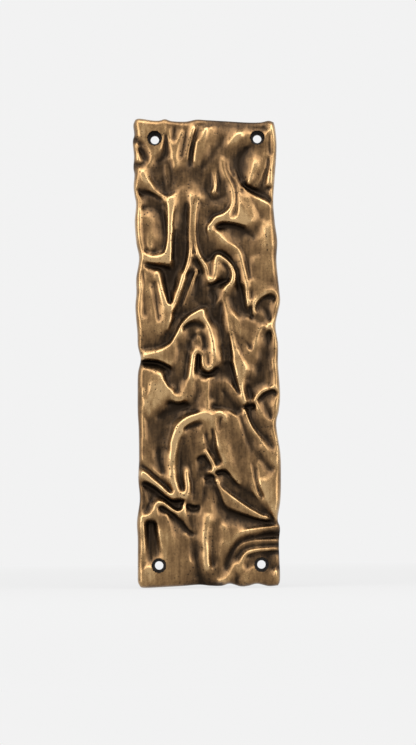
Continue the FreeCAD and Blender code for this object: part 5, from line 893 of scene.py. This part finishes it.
def antique_bronze():
    """Cast bronze: dark patina and painted shade in the folds, rubbed bright on the crests, pitted all
    over.
    """
    material = bpy.data.materials.new("antique_bronze")
    material.use_nodes = True
    tree = material.node_tree
    tree.nodes.clear()
    place = node(tree, "ShaderNodeTexCoord").outputs["Object"]
    cloud = noise(tree, place, 130, 4)
    grain = noise(tree, place, 900, 3)
    along = node(tree, "ShaderNodeMapping", {"Vector": place, "Scale": (1.0, 1.0, 0.12)})
    streak = noise(tree, along.outputs["Vector"], 600, 3)
    # Rubbing and patina from the relief marks, with painted shade in the crevices and the screw holes.
    rub_and_shade = 0.0
    for name, share in RUB_AND_SHADE_SHARES.items():
        mark = node(tree, "ShaderNodeAttribute", attribute_name=name).outputs["Fac"]
        rub_and_shade = sums(tree, "ADD", rub_and_shade, sums(tree, "MULTIPLY", mark, share))
    for pattern, reach in ((cloud, 0.06), (grain, 0.05), (streak, 0.10)):
        rub_and_shade = sums(tree, "ADD", rub_and_shade, level_of(tree, pattern, 0.3, 0.7, -reach, reach))
    wear_and_shade = level_of(tree, rub_and_shade, 0.73, 1.61)
    colour = ramp(tree, wear_and_shade, PATINA_AND_SHADE)
    specks = node(tree, "ShaderNodeTexVoronoi", {"Vector": place, "Scale": 420.0, "Randomness": 1.0})
    where = level_of(tree, noise(tree, place, 70, 2), 0.42, 0.58)
    pit = sums(tree, "MULTIPLY", level_of(tree, specks.outputs["Distance"], 0.24, 0.12), where)
    colour = blend_colours(tree, sums(tree, "MULTIPLY", pit, 0.85), colour, PIT_COLOUR)
    roughness = level_of(tree, wear_and_shade, 0.0, 1.0, 0.42, 0.23)
    roughness = sums(tree, "ADD", roughness, level_of(tree, grain, 0.3, 0.7, -0.05, 0.07))
    relief = sums(tree, "ADD", sums(tree, "MULTIPLY", grain, 0.25), sums(tree, "MULTIPLY", cloud, 0.5))
    relief = sums(tree, "SUBTRACT", relief, sums(tree, "MULTIPLY", pit, 0.9))
    bump = node(tree, "ShaderNodeBump", {"Height": relief, "Strength": 0.22, "Distance": 0.0006})
    shader = node(tree, "ShaderNodeBsdfPrincipled", {
        "Base Color": colour, "Metallic": 0.92, "Roughness": roughness, "Normal": bump.outputs["Normal"]})
    output = node(tree, "ShaderNodeOutputMaterial")
    tree.links.new(shader.outputs["BSDF"], output.inputs["Surface"])
    return material


def finger_plate():
    """The cast plate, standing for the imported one."""
    skin = uneven(blurred(relaxed_skin(), SKIN_BLUR))
    plan = plan_grid()
    scale = pattern_scale(plan)
    plate = bpy.data.objects.new("finger_plate_cast", plate_mesh(skin, plan, scale))
    bpy.context.scene.collection.objects.link(plate)
    drilled(plate)
    mark_patina_and_shade(plate, skin, scale)
    for face in plate.data.polygons:
        face.use_smooth = face.normal.y < 0.99
    plate.data.materials.clear()
    plate.data.materials.append(antique_bronze())
    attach(plate, "root")
    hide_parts("finger_plate")


def soft_light(name, place, target, width, height, power):
    """A rectangular studio light that looks at a target; sizes in metres, power in watts."""
    lamp = bpy.data.lights.new(name, "AREA")
    lamp.shape = "RECTANGLE"
    lamp.size = width
    lamp.size_y = height
    lamp.energy = power
    holder = bpy.data.objects.new(name, lamp)
    holder.location = place
    holder.rotation_euler = (Vector(target) - Vector(place)).to_track_quat("-Z", "Y").to_euler()
    bpy.context.scene.collection.objects.link(holder)


def shown_share(tree):
    """One for rays that show the backdrop: straight ones, mirrored ones and ones through glass."""
    rays = node(tree, "ShaderNodeLightPath").outputs
    shown = sums(tree, "MAXIMUM", rays["Is Camera Ray"], rays["Is Glossy Ray"])
    return sums(tree, "MAXIMUM", shown, rays["Is Transmission Ray"])


def pale_floor():
    """Floor under the plate, which keeps the shadow close by and fades into the backdrop."""
    signs = ((-1, -1), (1, -1), (1, 1), (-1, 1))
    corners = [(FLOOR_HALF * x, FLOOR_HALF * y, 0) for x, y in signs]
    mesh = bpy.data.meshes.new("pale_floor")
    mesh.from_pydata(corners, [], [(0, 1, 2, 3)])
    floor = bpy.data.objects.new("pale_floor", mesh)
    floor.location.z = cad_low.z - FLOOR_GAP
    bpy.context.scene.collection.objects.link(floor)
    material = bpy.data.materials.new("pale_floor")
    material.use_nodes = True
    tree = material.node_tree
    tree.nodes.clear()
    place = node(tree, "ShaderNodeTexCoord").outputs["Object"]
    far = node(tree, "ShaderNodeVectorMath", {0: place}, operation="LENGTH").outputs["Value"]
    faded = level_of(tree, far, FADE_NEAR, FADE_FAR, FADE_SHARE, 1.0)
    paper = node(tree, "ShaderNodeBsdfDiffuse", {"Color": (*PAPER, 1)})
    glow = node(tree, "ShaderNodeEmission", {"Color": (*BACKDROP, 1), "Strength": 1.0})
    share = sums(tree, "MULTIPLY", shown_share(tree), faded)
    mix = node(tree, "ShaderNodeMixShader", {0: share, 1: paper.outputs[0], 2: glow.outputs[0]})
    output = node(tree, "ShaderNodeOutputMaterial")
    tree.links.new(mix.outputs[0], output.inputs["Surface"])
    mesh.materials.append(material)


def studio_world():
    """Pale backdrop for the camera and for mirrored rays, and a dim even room for all other light."""
    world = bpy.data.worlds.new("studio")
    bpy.context.scene.world = world
    world.use_nodes = True
    tree = world.node_tree
    tree.nodes.clear()
    seen = node(tree, "ShaderNodeBackground", {"Color": (*BACKDROP, 1), "Strength": 1.0})
    room = node(tree, "ShaderNodeBackground", {"Color": (*ROOM, 1), "Strength": 1.0})
    mix = node(tree, "ShaderNodeMixShader", {0: shown_share(tree), 1: room.outputs[0], 2: seen.outputs[0]})
    output = node(tree, "ShaderNodeOutputWorld")
    tree.links.new(mix.outputs[0], output.inputs["Surface"])


def photo_camera():
    """Camera square to the plate, opposite its lower end, with the lens shifted up to frame it."""
    camera = bpy.data.cameras.new("photo_camera")
    camera.sensor_fit = "VERTICAL"
    camera.sensor_height = 36.0
    seen_height = PHOTO_HEIGHT * MM_PER_PIXEL * MM
    camera.lens = camera.sensor_height * CAMERA_AWAY / seen_height
    camera.shift_y = (PICTURE_MIDDLE - CAMERA_UP) / seen_height
    holder = bpy.data.objects.new("photo_camera", camera)
    holder.location = (CAMERA_ASIDE, FACE_DEPTH - CAMERA_AWAY, CAMERA_UP)
    holder.rotation_euler = (math.radians(90), 0, 0)
    holder.rotation_euler.rotate_axis("Z", math.radians(CAMERA_ROLL))
    bpy.context.scene.collection.objects.link(holder)
    bpy.context.scene.camera = holder


finger_plate()
for light in LIGHTS:
    soft_light(*light)
pale_floor()
studio_world()
photo_camera()
bpy.context.scene.view_settings.view_transform = "Standard"
